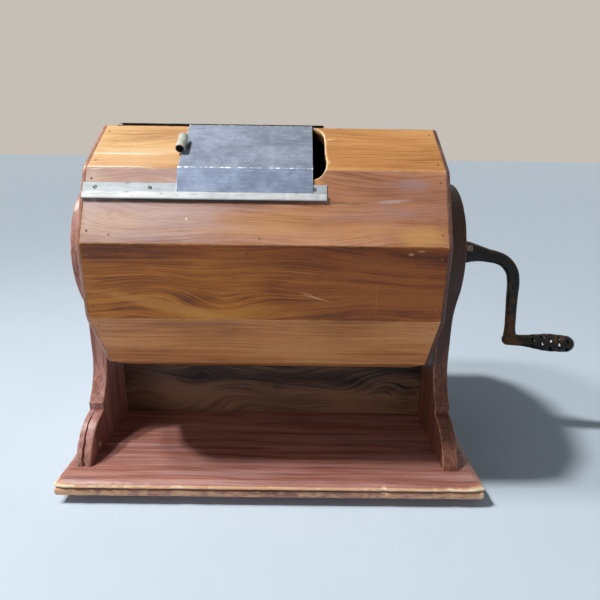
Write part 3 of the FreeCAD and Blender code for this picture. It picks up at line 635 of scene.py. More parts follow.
def support(side):
    """Support as lyre outlines stacked through its thickness, rounded in at both faces.

    The left one has a split down the front of its foot: a narrow valley that
    wanders down the middle of the edge and widens towards the base.
    """
    half = lyre_half()
    outline = np.concatenate([half, (half * (-1, 1))[::-1]])
    slope = np.roll(outline, -1, axis=0) - np.roll(outline, 1, axis=0)
    slope[[0, -1]] = (1, 0)
    slope[len(half) - 1] = (0.7, -1)
    slope[len(half)] = (0.7, 1)
    slope = unit(slope)
    normal_y, normal_z = -slope[:, 1], slope[:, 0]
    thickness = support_outer - support_inner
    depth = np.concatenate([[0.0], stations(thickness, SUPPORT_LAYERS), [thickness]])[:, None]
    face_gap = np.minimum(depth, thickness - depth)
    on_face = np.zeros_like(face_gap)
    on_face[[0, -1]] = 1
    height = outline[:, 1] - base_top
    front = outline[:, 0] < 0
    travel = travelled(outline)
    inset = rounded(face_gap, SUPPORT_EDGE) + on_face * 4 * MM
    inset = inset + ripple(travel, 50 + side, (0.15, 0.07, 0.031), 0.15 * MM)
    chips = nicks(travel, 60 + side, 40, 0, travel.max(), 5 * MM, 1.1 * MM)
    inset = inset + chips * fade(face_gap, 1.4 * MM)
    wear = 0.75 * fade(face_gap, 1.6 * MM) + 250 * chips * fade(face_gap, 2 * MM)
    if side < 0:
        share = height / LOBE_HEIGHT
        line = thickness * (0.5 + 0.11 * share) + ripple(height, 77, (0.03, 0.013), 0.9 * MM)
        width = 0.25 * MM + 0.9 * MM * np.clip(1 - share, 0, 1)
        on_foot = front * np.clip(1.2 - share, 0, 1) ** 0.3 * (height < LOBE_HEIGHT)
        inset = inset + SPLIT_DEPTH * bell(depth - line, width) * on_foot
        wear = wear + 0.9 * bell(depth - line, 1.8 * MM) * front * (height < 12 * MM)
    wear = wear * (1 - on_face)
    x = side * (support_inner + np.broadcast_to(depth, inset.shape))
    y = outline[:, 0] - normal_y * inset
    z = falling(np.maximum(outline[:, 1] - normal_z * inset, base_top))
    board = np.stack([z, y, x + side], -1)
    return Skin(np.stack([x, y, z], -1), wear, board)


def base_loop(inset, z):
    """Ring round the base: half of it past the front, and its mirror image past the back."""
    left, right, depth = base_low.x + inset, base_high.x - inset, base_high.y - inset
    bend = np.linspace(0, math.pi / 2, 7)
    grow, shrink = BASE_CORNER * (1 - np.cos(bend)), BASE_CORNER * (1 - np.sin(bend))
    side = np.linspace(0, depth - BASE_CORNER, BASE_SIDE_STEPS)
    front = np.linspace(left + BASE_CORNER, right - BASE_CORNER, BASE_FRONT_STEPS + 1)[1:-1]
    x = np.concatenate([np.full_like(side, left), left + grow, front, right - shrink,
                        np.full_like(side, right)])
    y = np.concatenate([-side, shrink - depth, np.full_like(front, -depth), grow - depth,
                        -side[::-1]])
    y[[0, -1]] -= 0.2 * MM
    x, y = np.concatenate([x, x[::-1]]), np.concatenate([y, -y[::-1]])
    return np.stack([x, y, np.full_like(x, z)], -1)


def base_steps():
    """Edge moulding from the underside up: bead, groove, round nose, bevel.

    Each step is an inset, a height and a wear.
    """
    nose_top = base_top - BEVEL_DROP
    nose_floor = nose_top - NOSE_HEIGHT
    bead_top = nose_floor - GROOVE_HEIGHT
    shelf, groove, bevel = NOSE_BULGE, NOSE_BULGE + GROOVE_DEPTH, NOSE_BULGE + BEVEL_WIDTH
    lower = shelf - BEAD_BULGE
    swell = list(enumerate(np.sin(np.linspace(0, math.pi, 9))))
    bead_step, nose_step = (bead_top - base_floor - 1.4 * MM) / 8, (NOSE_HEIGHT - 0.6 * MM) / 8
    return [
        (lower + 1.6 * MM, base_floor + 0.02 * MM, 0.0),
        (lower + 0.4 * MM, base_floor + 0.5 * MM, 0.2),
        *[(lower - BEAD_BULGE * s, base_floor + 1.1 * MM + bead_step * k, 0.54 + 0.10 * s)
          for k, s in swell],
        (lower + 0.7 * MM, bead_top, 0.2),
        (groove, bead_top + 0.5 * MM, 0.0),
        (groove, nose_floor - 0.5 * MM, 0.0),
        (shelf + 0.5 * MM, nose_floor, 0.45),
        *[(shelf - NOSE_BULGE * s, nose_floor + 0.3 * MM + nose_step * k, 0.84 if k < 8 else 0.38)
          for k, s in swell],
        (shelf + 0.5 * MM, nose_top + 0.1 * MM, 0.26),
        (shelf + 3 * MM, nose_top + 0.375 * BEVEL_DROP, 0.24),
        (bevel - 0.8 * MM, base_top - 0.35 * MM, 0.28),
        (bevel, base_top - 0.08 * MM, 0.32),
        (bevel + 1.2 * MM, base_top, 0.2),
        (bevel + 5 * MM, base_top, 0.0),
    ]


def base_board():
    """Base as rings of its moulding, with worn front corners and nicks along every edge."""
    inset, height, worn = np.array(base_steps()).T
    rings = np.stack([base_loop(*step) for step in zip(inset, height)])
    wear = worn[:, None] * np.ones(rings.shape[1])
    x, y, z = np.moveaxis(rings, -1, 0)
    outer = np.clip(1 - inset / (9 * MM), 0, 1)[:, None]
    high = np.clip((z - base_floor - 8 * MM) / (4 * MM), 0.25, 1)
    lost = np.zeros_like(x)
    for corner_x in (base_low.x, base_high.x):
        away = np.hypot(x - corner_x, y - base_low.y)
        lost = lost + BASE_CORNER_LOSS * bell(away, BASE_CORNER_REACH) * high * outer
        wear = wear + 1.1 * bell(away, 17 * MM) * high * outer
    front = y < base_low.y + EDGE_BAND
    chips = nicks(x, 81, 60, base_low.x, base_high.x, 6 * MM, NICK_DEPTH) * front
    chips = chips + nicks(y, 82, 50, -base_high.y, base_high.y, 6 * MM, NICK_DEPTH) * ~front
    lost = lost + chips * outer
    wear = wear + (230 * chips + 0.16 * front * (z > base_floor + 10 * MM)) * outer
    on_end = np.abs(y) < base_high.y - EDGE_BAND
    to_middle = np.stack([np.clip(-x / 0.1, -1, 1) * on_end, -np.sign(y) * ~on_end, 0 * x], -1)
    return Skin(rings + to_middle * lost[..., None], wear, rings)


def plinth():
    """Plain board under the base: rings of its outline, rounded at the foot."""
    steps = [(1.0 * MM, 0.0), (0.3 * MM, 0.3 * MM), (0.0, 1.0 * MM), (0.0, 0.5 * base_floor),
             (0.0, base_floor)]
    return Skin(np.stack([base_loop(plinth_inset + inset, z) for inset, z in steps]))


def stretcher():
    """Stretcher as a rounded box, carried along the axle."""
    tall, gap = stretcher_high.z - stretcher_low.z, 0.1 * MM
    up = stations(tall, STRETCHER_ACROSS)
    edge = np.minimum(up, tall - up)
    inset = rounded(edge, 1.0 * MM)
    length = stretcher_high.x - stretcher_low.x - 2 * gap
    x = stretcher_low.x + gap + stations(length, STRETCHER_ALONG)[:, None]
    bow = ripple(x, 90, (0.6, 0.21), 0.25 * MM)
    hollow = ripple(up, 91, (0.09, 0.05), 0.15 * MM)
    z = stretcher_low.z + up
    front = np.stack(np.broadcast_arrays(x, stretcher_low.y + inset + bow + hollow, z), -1)
    back = np.stack(np.broadcast_arrays(x, stretcher_high.y - inset + bow, z), -1)
    rings = there_and_back(front, back)
    wear = np.broadcast_to(0.5 * fade(edge, 1.5 * MM), front.shape[:2])
    return Skin(rings, there_and_back(wear, wear), rings[..., [0, 2, 1]])


def screw_heads(spots, outward):
    """Slotted flat heads let into a board at the given places."""
    second = np.cross(outward, ALONG_Y)
    heads = []
    for count, spot in enumerate(spots):
        slant = 0.5 + 1.1 * count
        across = ALONG_Y * math.cos(slant) + second * math.sin(slant)
        heads.append(round_head(np.array(spot), across, np.array(outward, float), SCREW_RADIUS,
                                SCREW_RISE, SLOT_HALF))
    return heads


def turned_loop(profile, count=48):
    """Skin of a closed (x, radius) profile turned about the axle."""
    angle = circle(count)
    x, radius = np.array(profile).T
    ring = np.stack([np.zeros(count), np.cos(angle), np.sin(angle)], -1)
    rings = axle + x[:, None, None] * ALONG_X + radius[:, None, None] * ring
    return Skin(rings, looped=True)


def bush(side):
    """Flanged sleeve: flange towards the drum, and a thin lip on the outer face."""
    ease = 0.3 * MM
    bore = JOURNAL_RADIUS + 0.05 * MM
    flange, lip = support_inner - BUSH_FLANGE, support_outer + 0.35 * MM
    profile = [(flange, bore + ease), (flange, BUSH_FLANGE_RADIUS - 0.4 * MM),
               (flange + 0.4 * MM, BUSH_FLANGE_RADIUS),
               (support_inner + 0.05 * MM, BUSH_FLANGE_RADIUS),
               (support_inner + 0.1 * MM, BUSH_RADIUS), (lip - ease, BUSH_RADIUS),
               (lip, BUSH_RADIUS - ease), (lip, bore + ease), (lip - ease, bore),
               (flange + ease, bore)]
    return turned_loop([(side * x, radius) for x, radius in profile])


# Crank

GRIP_LENGTH = 118.0 * MM
GRIP_HEEL = 11.5 * MM
GRIP_DROOP = math.radians(4.0)
GRIP_NECK = 9.2 * MM
GRIP_NECK_END = 30.0 * MM
GRIP_BELLY = 14.5 * MM
GRIP_BELLY_PLACE = 80.0 * MM
GRIP_WALL = 4.2 * MM
LATTICE_ROWS = 5
LATTICE_ROUND = 6
LATTICE_START = 40.05 * MM
LATTICE_STEP = 13.9 * MM
LATTICE_END = LATTICE_START + LATTICE_ROWS * LATTICE_STEP
LATTICE_SIDE = 8                  # faces along one side of a cell
CRANK_REACH = 120.0 * MM
CRANK_THROW = 144.0 * MM
SET_SCREW_LIFT = math.radians(25.0)
grip_start = axle + np.array([support_outer + CRANK_REACH, 0, -CRANK_THROW])
grip_axis = np.array([math.cos(GRIP_DROOP), 0, -math.sin(GRIP_DROOP)])
grip_upward = np.array([math.sin(GRIP_DROOP), 0, math.cos(GRIP_DROOP)])


# Middle line of the arm: place along the axle and up from it, half width and half depth, in mm
ARM_LINE = ((0.8, 0.0, 20.0, 20.0), (9, 0.0, 19.0, 19.0), (22, 0.0, 17.6, 17.6),
            (36, -0.4, 16.2, 16.0), (46, -1.4, 13.8, 13.2), (57, -3.2, 11.6, 10.2),
            (69, -5.8, 10.2, 8.4), (81.4, -8.3, 9.6, 7.6), (93.5, -13.2, 9.4, 7.5),
            (103.4, -22.0, 9.3, 7.5), (110.2, -33.5, 9.3, 7.5), (113.1, -46.1, 9.2, 7.5),
            (115.0, -75.0, 8.5, 7.5), (117.2, -104.8, 8.0, 7.5), (118.9, -127.0, 8.3, 7.8),
            (120.0, -138.0, 9.6, 8.6), (120.4, -147.0, 8.4, 8.0))
ARM_RINGS = 130


def crank_arm():
    """Hub and swan-necked arm in one sweep: rounded squares along a smooth line."""
    line = smooth_line(np.array(ARM_LINE) * MM, ARM_RINGS)
    middle = axle + (support_outer + line[:, :1]) * ALONG_X + line[:, 1:2] * ALONG_Z
    slope = unit(np.gradient(line[:, :2], axis=0))
    across = slope[:, 1:] * ALONG_X - slope[:, :1] * ALONG_Z
    angle = circle(40)
    square = superellipse(angle, 2.5)
    travel = np.arange(ARM_RINGS)[:, None] * 0.8 + 7 * np.cos(angle)
    rough = 1 + ripple(travel, 15, (31, 12, 5.3), 0.012)
    wide = line[:, 2:3] * np.cos(angle) * square * rough
    deep = line[:, 3:4] * np.sin(angle) * square * rough
    return Skin(middle[:, None] + wide[..., None] * across[:, None] + deep[..., None] * ALONG_Y)


def grip_radius(place):
    """Radius of the grip from heel to tip: round heel, neck, swelling belly and round end."""
    heel = np.sqrt(np.clip(1 - (1 - place / GRIP_NECK) ** 2, 0, 1))
    swell = np.clip((place - GRIP_NECK_END) / (GRIP_BELLY_PLACE - GRIP_NECK_END), 0, 1)
    swell = (swell ** 2 * (3 - 2 * swell)) ** 0.85
    end_start = GRIP_LENGTH - GRIP_BELLY
    past_belly = (place - GRIP_BELLY_PLACE) / (end_start - GRIP_BELLY_PLACE)
    taper = 1 - 0.07 * np.clip(past_belly, 0, 1) ** 2
    end = np.sqrt(np.clip(1 - np.clip((place - end_start) / GRIP_BELLY, 0, 1) ** 2, 0, 1))
    body = (GRIP_NECK + (GRIP_BELLY - GRIP_NECK) * swell) * taper * end
    return np.where(place < GRIP_NECK, GRIP_NECK * heel, body)


def grip_points(place, angle, radius):
    """Points on the grip from the distance past its heel, the angle round it and the radius."""
    values = np.broadcast_arrays(place, angle, radius)
    place, angle, radius = (value[..., None] for value in values)
    outward = np.cos(angle) * grip_upward - np.sin(angle) * ALONG_Y
    return grip_start + (place - GRIP_HEEL) * grip_axis + radius * outward


def grip_ends():
    """Solid neck and tip of the grip: circles of the grip's radius."""
    lap = 0.1 * MM
    heel = GRIP_NECK * (1 - np.cos(np.linspace(0.08, math.pi / 2, 9)))
    neck = np.concatenate([heel, np.linspace(GRIP_NECK + MM, LATTICE_START + lap, 12)])
    share = np.sin(np.linspace(0, 0.497 * math.pi, 10))
    tip = LATTICE_END - lap + (GRIP_LENGTH - LATTICE_END) * share
    return [Skin(grip_points(place, circle(48), grip_radius(place)))
            for place in (neck[:, None], tip[:, None])]


def lattice():
    """Openwork of the grip: rings of cells, each half a cell round from the ring before.

    A cell is a square with an oval hole. Its faces run from the square's border
    to the rim of the hole on the outside, round the rim, and back on the inside.
    """
    side = LATTICE_SIDE
    edge = np.linspace(-1, 1, side, endpoint=False)
    one = np.ones(side)
    pairs = ((edge, -one), (one, edge), (-edge, one), (-one, -edge))
    border = np.concatenate([np.stack(pair, -1) for pair in pairs])
    direction = np.arctan2(border[:, 1], border[:, 0])
    slant = 0.45
    oval = 0.40 + 0.14 * np.cos(2 * (direction - slant))
    rim = oval[:, None] * np.stack([1.25 * np.cos(direction), 1.05 * np.sin(direction)], -1)
    share = np.array([1.0, 0.7, 0.42, 0.2, 0.06, 0.0, 0.0, 0.08, 0.35, 1.0])[:, None, None]
    sunk = np.array([0.0, 0.0, 0.12, 0.42, 0.9, 1.5, 2.7, 3.5, 4.0, 4.2])[:, None] * MM
    cell = rim + (border - rim) * share
    row, turn = np.meshgrid(np.arange(LATTICE_ROWS), np.arange(LATTICE_ROUND), indexing="ij")
    row, turn = (value.reshape(-1, 1, 1) for value in (row, turn))
    place = LATTICE_START + LATTICE_STEP * (row + 0.5 + cell[None, ..., 1] / 2)
    angle = TURN / LATTICE_ROUND * (turn + 0.5 * (row % 2) + cell[None, ..., 0] / 2)
    points = grip_points(place, angle, grip_radius(place) - sunk[None])
    faces = quads(np.arange(points[..., 0].size).reshape(points.shape[:3]))
    ends = []
    for end in (LATTICE_START, LATTICE_END):
        radius = grip_radius(np.full((1, LATTICE_ROUND * side), end))
        wall = radius - np.array([[0.0], [GRIP_WALL]])
        ends.append(grip_points(end, circle(LATTICE_ROUND * side), wall))
    return welded(points.reshape(-1, 3), faces, ends)


def welded(points, faces, end_rings):
    """Skin of loose faces and end rings, with points in the same place made one."""
    for ends, turned in zip(end_rings, (False, True)):
        strip = quads(len(points) + np.arange(ends[..., 0].size).reshape(ends.shape[:2]))
        points = np.concatenate([points, ends.reshape(-1, 3)])
        faces = np.concatenate([faces, strip[:, ::-1] if turned else strip])
    near = np.round(points / (0.02 * MM))
    _, first, same = np.unique(near, axis=0, return_index=True, return_inverse=True)
    whole = Skin(np.zeros((2, 2, 3)))
    whole.points = points[first]
    whole.faces = whole.facing_out(same.reshape(-1)[faces])
    whole.wear = np.zeros(len(first))
    whole.board = whole.points
    return whole


def set_screw():
    """Square head with eased edges, and its shank, standing out of the hub."""
    low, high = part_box("crank_set_screw")
    outward = np.array([0, -math.cos(SET_SCREW_LIFT), math.sin(SET_SCREW_LIFT)])
    upward = np.array([0, math.sin(SET_SCREW_LIFT), math.cos(SET_SCREW_LIFT)])
    shank = [(10, 3.4), (16.9, 3.4)]
    head = [(17.0, 4.0), (17.4, 4.5), (21.3, 4.5), (21.9, 4.1), (22.2, 3.0)]
    out, radius = np.array(shank + head).T[:, :, None] * MM
    angle = circle(32) + TURN / 64
    form = np.where(np.arange(len(out))[:, None] < len(shank), 1.0, superellipse(angle, 9))
    a, b = radius * form * np.cos(angle), radius * form * np.sin(angle)
    middle = axle + (low.x + high.x) / 2 * ALONG_X + out[..., None] * outward
    return Skin(middle + a[..., None] * ALONG_X + b[..., None] * upward)


# Finishes

def math_node(operation, reflected=False):
    """Operator that adds a Math node; its reflected form takes the other value first."""
    def combine(value, other):
        first, second = (other, value) if reflected else (value, other)
        sockets = {0: first, 1: second}
        return value.finish.node("ShaderNodeMath", {"operation": operation}, sockets)
    return combine


class Value:
    """A shader socket that takes part in Python sums."""

    def __init__(self, finish, socket):
        self.finish, self.socket = finish, socket

    __add__, __radd__ = math_node("ADD"), math_node("ADD", True)
    __sub__, __rsub__ = math_node("SUBTRACT"), math_node("SUBTRACT", True)
    __mul__, __rmul__ = math_node("MULTIPLY"), math_node("MULTIPLY", True)
    __truediv__, __pow__ = math_node("DIVIDE"), math_node("POWER")


class Finish:
    """A material whose nodes are made by one method and read as sums."""

    def __init__(self, name, **constants):
        self.material = bpy.data.materials.new(name)
        self.material.use_nodes = True
        self.tree = self.material.node_tree
        self.shader = self.tree.nodes["Principled BSDF"]
        self.done(**constants)

    def feed(self, socket, value):
        """Link a socket to a value, or set it to a number, a vector or an opaque colour."""
        if isinstance(value, Value):
            self.tree.links.new(value.socket, socket)
        else:
            socket.default_value = (*value, 1.0) if socket.type == "RGBA" else value

    def node(self, kind, settings=None, sockets=None, output=0):
        """New node with its settings and sockets, as the value of one of its outputs."""
        made = self.tree.nodes.new(kind)
        for key, value in (settings or {}).items():
            if key == "stops":
                self.set_stops(made.color_ramp, value)
            else:
                setattr(made, key, value)
        for key, value in (sockets or {}).items():
            self.feed(made.inputs[key], value)
        return Value(self, made.outputs[output])

    @staticmethod
    def set_stops(ramp, stops):
        while len(ramp.elements) < len(stops):
            ramp.elements.new(1.0)
        for element, (place, colour) in zip(ramp.elements, stops):
            element.position, element.color = place, (*colour, 1.0)

    def painted(self, name, output):
        return self.node("ShaderNodeAttribute", {"attribute_name": name}, output=output)

    def places(self):
        return self.node("ShaderNodeTexCoord", output="Object")

    def parts(self, vector):
        return [self.node("ShaderNodeSeparateXYZ", None, {0: vector}, axis) for axis in range(3)]

    def noise(self, vector, scale, detail, roughness, turn=(0, 0, 0), shift=(0, 0, 0)):
        """Noise whose features are 1 / scale long in each direction."""
        sockets = {"Vector": vector, "Scale": scale, "Rotation": turn, "Location": shift}
        mapped = self.node("ShaderNodeMapping", None, sockets)
        sockets = {"Vector": mapped, "Scale": 1.0, "Detail": detail, "Roughness": roughness}
        return self.node("ShaderNodeTexNoise", None, sockets)

    def smooth(self, value, low, high):
        """0 below low, 1 above high, and a smooth step between."""
        return self.node("ShaderNodeMapRange", {"interpolation_type": "SMOOTHSTEP"},
                         {"Value": value, "From Min": low, "From Max": high})

    def ramp(self, value, stops):
        return self.node("ShaderNodeValToRGB", {"stops": stops}, {0: value})

    def mix(self, factor, first, second, blend="MIX"):
        settings = {"data_type": "RGBA", "blend_type": blend}
        return self.node("ShaderNodeMix", settings, {0: factor, 6: first, 7: second}, 2)

    def tint(self, factor, first, second):
        return self.mix(factor, first, second, "MULTIPLY")

    def bump(self, height, strength, distance):
        sockets = {"Height": height, "Strength": strength, "Distance": distance}
        return self.node("ShaderNodeBump", None, sockets)

    def done(self, **sockets):
        """Feed the shader and hand over the material."""
        for socket, value in sockets.items():
            self.feed(self.shader.inputs[socket.replace("_", " ")], value)
        return self.material


def spot(finish, first, second, middle, reach, ragged, hardness=0.5):
    """Ragged patch round a place: 1 inside its oval and 0 outside."""
    a = (first - middle[0]) / reach[0]
    b = (second - middle[1]) / reach[1]
    away = (a * a + b * b) ** 0.5 + ragged
    return 1 - finish.smooth(away, 1 - hardness, 1 + hardness)


def wood(name, dark, base, light, pale, wander=0.01, bands=0.7, streaks=0.7, blotches=0.8,
         fine=1.0, painted_sheen=None, light_and_shade=(), marks=(), gloss=0.38):
    """Old varnished wood on the board's own measures.

    The place across the board is first pushed about by slow noise, so that the
    grain flows. Broad bands, narrow streaks and fine fibres are noise drawn out
    along that grain; slow blotches, short dark pores and worn edges lie over it.
    Each tint patch is a place along and across, a reach and a tint that multiplies
    the grain; these patches are painted light and shade, lighter where the light falls
    strongly across a board and darker where it falls off, with some of the wood's own
    tone. Each mark is a place, a reach, a colour, a strength and its lean across the
    board per length along it.
    """
    f = Finish(name, Coat_Roughness=0.25, Specular_IOR_Level=0.28)
    board = f.painted("board", "Vector")
    along, across, depth = f.parts(board)
    slow = f.noise(board, (5.0, 13.0, 13.0), 1.0, 0.4)
    pushed = across + (slow - 0.5) * (4 * wander)
    flow = f.node("ShaderNodeCombineXYZ", None, {0: along, 1: pushed, 2: depth})
    band = f.noise(flow, (2.2, 48.0 * fine, 48.0 * fine), 3.0, 0.55)
    streak = f.noise(flow, (5.0, 260.0 * fine, 260.0 * fine), 4.0, 0.62, shift=(3, 1, 7))
    fibre = f.noise(flow, (14.0, 900.0, 900.0), 3.0, 0.65, shift=(1, 5, 2))
    pore = f.noise(flow, (95.0, 2100.0, 2100.0), 1.0, 0.5, shift=(4, 2, 9))
    pore = f.smooth(pore, 0.60, 0.72)
    blotch = f.noise(board, (6.0, 17.0, 17.0), 3.0, 0.55, shift=(8, 3, 1))
    tone = (band - 0.5) * bands + (streak - 0.5) * streaks
    tone = tone + (blotch - 0.5) * blotches + (fibre - 0.5) * 1.0
    paint = f.ramp(tone + 0.5, [(0.24, light), (0.5, base), (0.80, dark)])
    paint = f.mix(pore * 0.5, paint, dark)
    ragged = f.noise(board, (60.0, 190.0, 190.0), 3.0, 0.65, shift=(2, 8, 4)) - 0.5
    # Painted sheen: a hazy pale lilac-grey mixed into the colour, standing in for light reflected
    # off the varnish.
    if painted_sheen:
        sheen_mask = f.noise(board, (9.0 / fine, 55.0 * fine, 55.0 * fine), 3.0, 0.6, shift=(6, 6, 2))
        paint = f.mix(f.smooth(sheen_mask, 0.42, 0.68) * painted_sheen[3], paint, painted_sheen[:3])
    # Tint patches: painted light and shade multiplied into the grain, with some of the wood's own
    # tone.
    for middle, reach, tint in light_and_shade:
        paint = f.tint(spot(f, along, across, middle, reach, ragged * 0.5, 0.7), paint, tint)
    for middle, reach, tint, strength, lean in marks:
        level = across - (along - middle[0]) * lean
        patch = spot(f, along, level, middle, reach, ragged * 1.3)
        paint = f.mix(patch * strength, paint, tint)
    speck = f.noise(board, (330.0, 460.0, 460.0), 2.0, 0.7, shift=(9, 4, 6))
    paint = f.mix(f.smooth(speck, 0.70, 0.78) * 0.3, paint, pale)
    wear = f.painted("wear", "Fac")
    worn = f.smooth(wear + ragged * 0.9, 0.52, 0.72)
    rubbed = f.smooth(wear + ragged * 0.5, 0.18, 0.55)
    paint = f.mix(rubbed * 0.35, paint, light)
    paint = f.mix(worn, paint, f.mix(fibre, pale, light))
    paint = f.mix(f.smooth(wear + ragged * 0.8, 0.95, 1.25), paint, BARE_WOOD)
    # Wear below 0 is painted near black: painted shade on the staves' inner faces, inside the drum.
    paint = f.mix(f.smooth(0 - wear, 0.0, 0.6), paint, INSIDE_DRUM_SHADE)
    grain = streak * 0.4 + fibre * 0.5 - pore * 0.5 + ragged * worn
    return f.done(Base_Color=paint, Roughness=gloss + fibre * 0.16 + worn * 0.3,
                  Coat_Weight=(1 - worn) * 0.14, Normal=f.bump(grain, 0.2, 0.3 * MM))


def zinc_sheet():
    """Dull zinc: cloudy grey, fine scratches both ways, bright worn folds and edges, and a painted
    reflection on the lower wing.
    """
    f = Finish("zinc_sheet", Metallic=0.7)
    board = f.painted("board", "Vector")
    wear = f.painted("wear", "Fac")
    cloud = f.noise(board, (16.0, 22.0, 22.0), 5.0, 0.65)
    mottle = f.noise(board, (120.0, 120.0, 120.0), 4.0, 0.7, shift=(3, 3, 3))
    brushed = f.noise(board, (14.0, 900.0, 1.0), 2.0, 0.6)
    rising = f.noise(board, (30.0, 1400.0, 1.0), 1.0, 0.5, turn=(0, 0, 0.6))
    sinking = f.noise(board, (22.0, 1100.0, 1.0), 1.0, 0.5, turn=(0, 0, -0.9))
    scratch = f.smooth(rising, 0.70, 0.78) + f.smooth(sinking, 0.72, 0.80)
    tone = cloud * 0.55 + mottle * 0.25 + brushed * 0.2
    greys = [(0.0, (0.147, 0.180, 0.242)), (0.5, (0.224, 0.265, 0.349)),
             (1.0, (0.316, 0.364, 0.463))]
    paint = f.ramp(f.smooth(tone, 0.36, 0.66), greys)
    dashes = f.noise(board, (230.0, 30.0, 1.0), 2.0, 0.6, shift=(5, 1, 1))
    bright = f.smooth(wear + (dashes - 0.5) * 0.9, 0.55, 0.8)
    paint = f.mix(bright, paint, (0.88, 0.90, 0.92))
    paint = f.mix(scratch * 0.45, paint, (0.72, 0.75, 0.80))
    # The lower wing is tinted lighter and bluer than the rest of the sheet: painted reflection.
    lower = 1 - f.smooth(f.parts(board)[1], -facet_half - 2 * MM, -facet_half)
    paint = f.tint(lower, paint, (1.07, 1.12, 1.20))
    return f.done(Base_Color=paint, Roughness=0.54 + mottle * 0.2 - bright * 0.1,
                  Normal=f.bump(mottle * 0.5 + brushed * 0.3 - scratch * 0.5, 0.12, 0.2 * MM))


def rail_metal(name, dull, bright, tarnish):
    """Plated strip: fine draw lines, dull spots, brown tarnish by its share, and painted shade on
    the flange and under the lip.
    """
    f = Finish(name, Metallic=0.4)
    board = f.painted("board", "Vector")
    wear = f.painted("wear", "Fac")
    drawn = f.noise(board, (18.0, 2600.0, 2600.0), 2.0, 0.6)
    cloud = f.noise(board, (22.0, 120.0, 120.0), 3.0, 0.6, shift=(7, 2, 1))
    spots = f.noise(board, (70.0, 260.0, 260.0), 4.0, 0.65, shift=(2, 2, 5))
    stain = f.smooth(spots + tarnish * 0.3, 0.56, 0.74)
    paint = f.mix(f.smooth(drawn * 0.5 + cloud * 0.5, 0.35, 0.62), dull, bright)
    paint = f.mix(stain * 0.65, paint, (0.24, 0.20, 0.13))
    _, across, out = f.parts(board)
    # The flange is tinted darker and bluer than the lip: painted shade.
    paint = f.tint(f.smooth(across, RAIL_LIP, RAIL_LIP + 1 * MM), paint, (0.68, 0.74, 0.78))
    # The lower half of the bend is painted near black: painted shade under the lip.
    below = 1 - f.smooth(out, 0.55 * RAIL_HEIGHT, 0.85 * RAIL_HEIGHT)
    below = below * (1 - f.smooth(across, 1.4 * MM, 1.9 * MM))
    paint = f.mix(below * 0.9, paint, (0.020, 0.014, 0.010))
    paint = f.mix(f.smooth(wear, 0.3, 0.8) * 0.5, paint, (0.10, 0.08, 0.06))
    return f.done(Base_Color=paint, Roughness=0.44 + stain * 0.25 + drawn * 0.1,
                  Normal=f.bump(drawn * 0.4 - stain * 0.6, 0.12, 0.15 * MM))


def black_iron():
    """Cast iron with worn black paint: pits, and rust low on the arm and at the grip's neck."""
    f = Finish("black_iron", Specular_IOR_Level=0.26)
    place = f.places()
    side, _, height = f.parts(place)
    pits = f.noise(place, (420.0, 420.0, 420.0), 4.0, 0.7)
    cloud = f.noise(place, (60.0, 60.0, 60.0), 4.0, 0.65, shift=(3, 3, 3))
    low = (1 - f.smooth(height - axle[2], -0.133, -0.048)) * (1 - f.smooth(side, 0.392, 0.412))
    rust = f.smooth(cloud + low * 0.17, 0.56, 0.70)
    paint = f.mix(pits, (0.006, 0.005, 0.004), (0.022, 0.019, 0.015))
    brown = f.mix(pits, (0.050, 0.022, 0.010), (0.20, 0.085, 0.032))
    paint = f.mix(rust * 0.75, paint, brown)
    return f.done(Base_Color=paint, Metallic=(1 - rust) * 0.2,
                  Roughness=0.30 + rust * 0.4 + pits * 0.12,
                  Normal=f.bump(pits * 0.6 + cloud * 0.6, 0.3, 0.4 * MM))


def old_metal(name, dark, light, metallic, roughness, grain):
    """Small metal parts: two tones mixed by cloudy noise, and near black where wear is below 0, a
    painted shade inside the rolled pull.
    """
    f = Finish(name, Metallic=metallic)
    painted_shade_inside = f.smooth(0 - f.painted("wear", "Fac"), 0.3, 0.9)
    place = f.places()
    cloud = f.noise(place, (grain, grain, grain), 4.0, 0.65)
    fine = f.noise(place, (grain * 7, grain * 7, grain * 7), 3.0, 0.6, shift=(1, 2, 3))
    paint = f.mix(f.smooth(cloud + (fine - 0.5) * 0.4, 0.35, 0.65), dark, light)
    paint = f.mix(painted_shade_inside, paint, (0.012, 0.011, 0.010))
    return f.done(Base_Color=paint, Roughness=roughness + cloud * 0.2 + painted_shade_inside * 0.4,
                  Normal=f.bump(fine, 0.15, 0.15 * MM))


def pale_floor():
    """Plain floor with a very faint fleck."""
    f = Finish("pale_floor", Roughness=0.6, Specular_IOR_Level=0.25)
    fleck = f.noise(f.places(), (9.0, 9.0, 9.0), 3.0, 0.5)
    return f.done(Base_Color=f.mix(fleck, (0.55, 0.66, 0.77), (0.59, 0.70, 0.81)))


PALE_WOOD = (0.70, 0.46, 0.24)
BARE_WOOD = (0.84, 0.70, 0.48)
# Near black for wear below 0: painted shade inside the drum.
INSIDE_DRUM_SHADE = (0.040, 0.021, 0.013)
BLUE_HAZE = (0.30, 0.26, 0.30)
SCUFF = (0.55, 0.54, 0.60)
DARK_DOTS_AND_RAIL_SHADOW = (0.035, 0.018, 0.010)
CHIP = (0.78, 0.54, 0.28)
ROSE = (0.52, 0.27, 0.16)
AMBER = (0.62, 0.30, 0.09)
GILT = (0.66, 0.35, 0.11)

GOLDEN = ((0.30, 0.108, 0.030), (0.52, 0.250, 0.085), (0.66, 0.375, 0.155), PALE_WOOD)
SALMON = ((0.26, 0.098, 0.044), (0.46, 0.208, 0.108), (0.58, 0.305, 0.170), PALE_WOOD)
BROWN = ((0.130, 0.030, 0.004), (0.37, 0.107, 0.012), (0.50, 0.182, 0.024), PALE_WOOD)
TAN = ((0.25, 0.088, 0.028), (0.46, 0.178, 0.057), (0.57, 0.255, 0.098), PALE_WOOD)
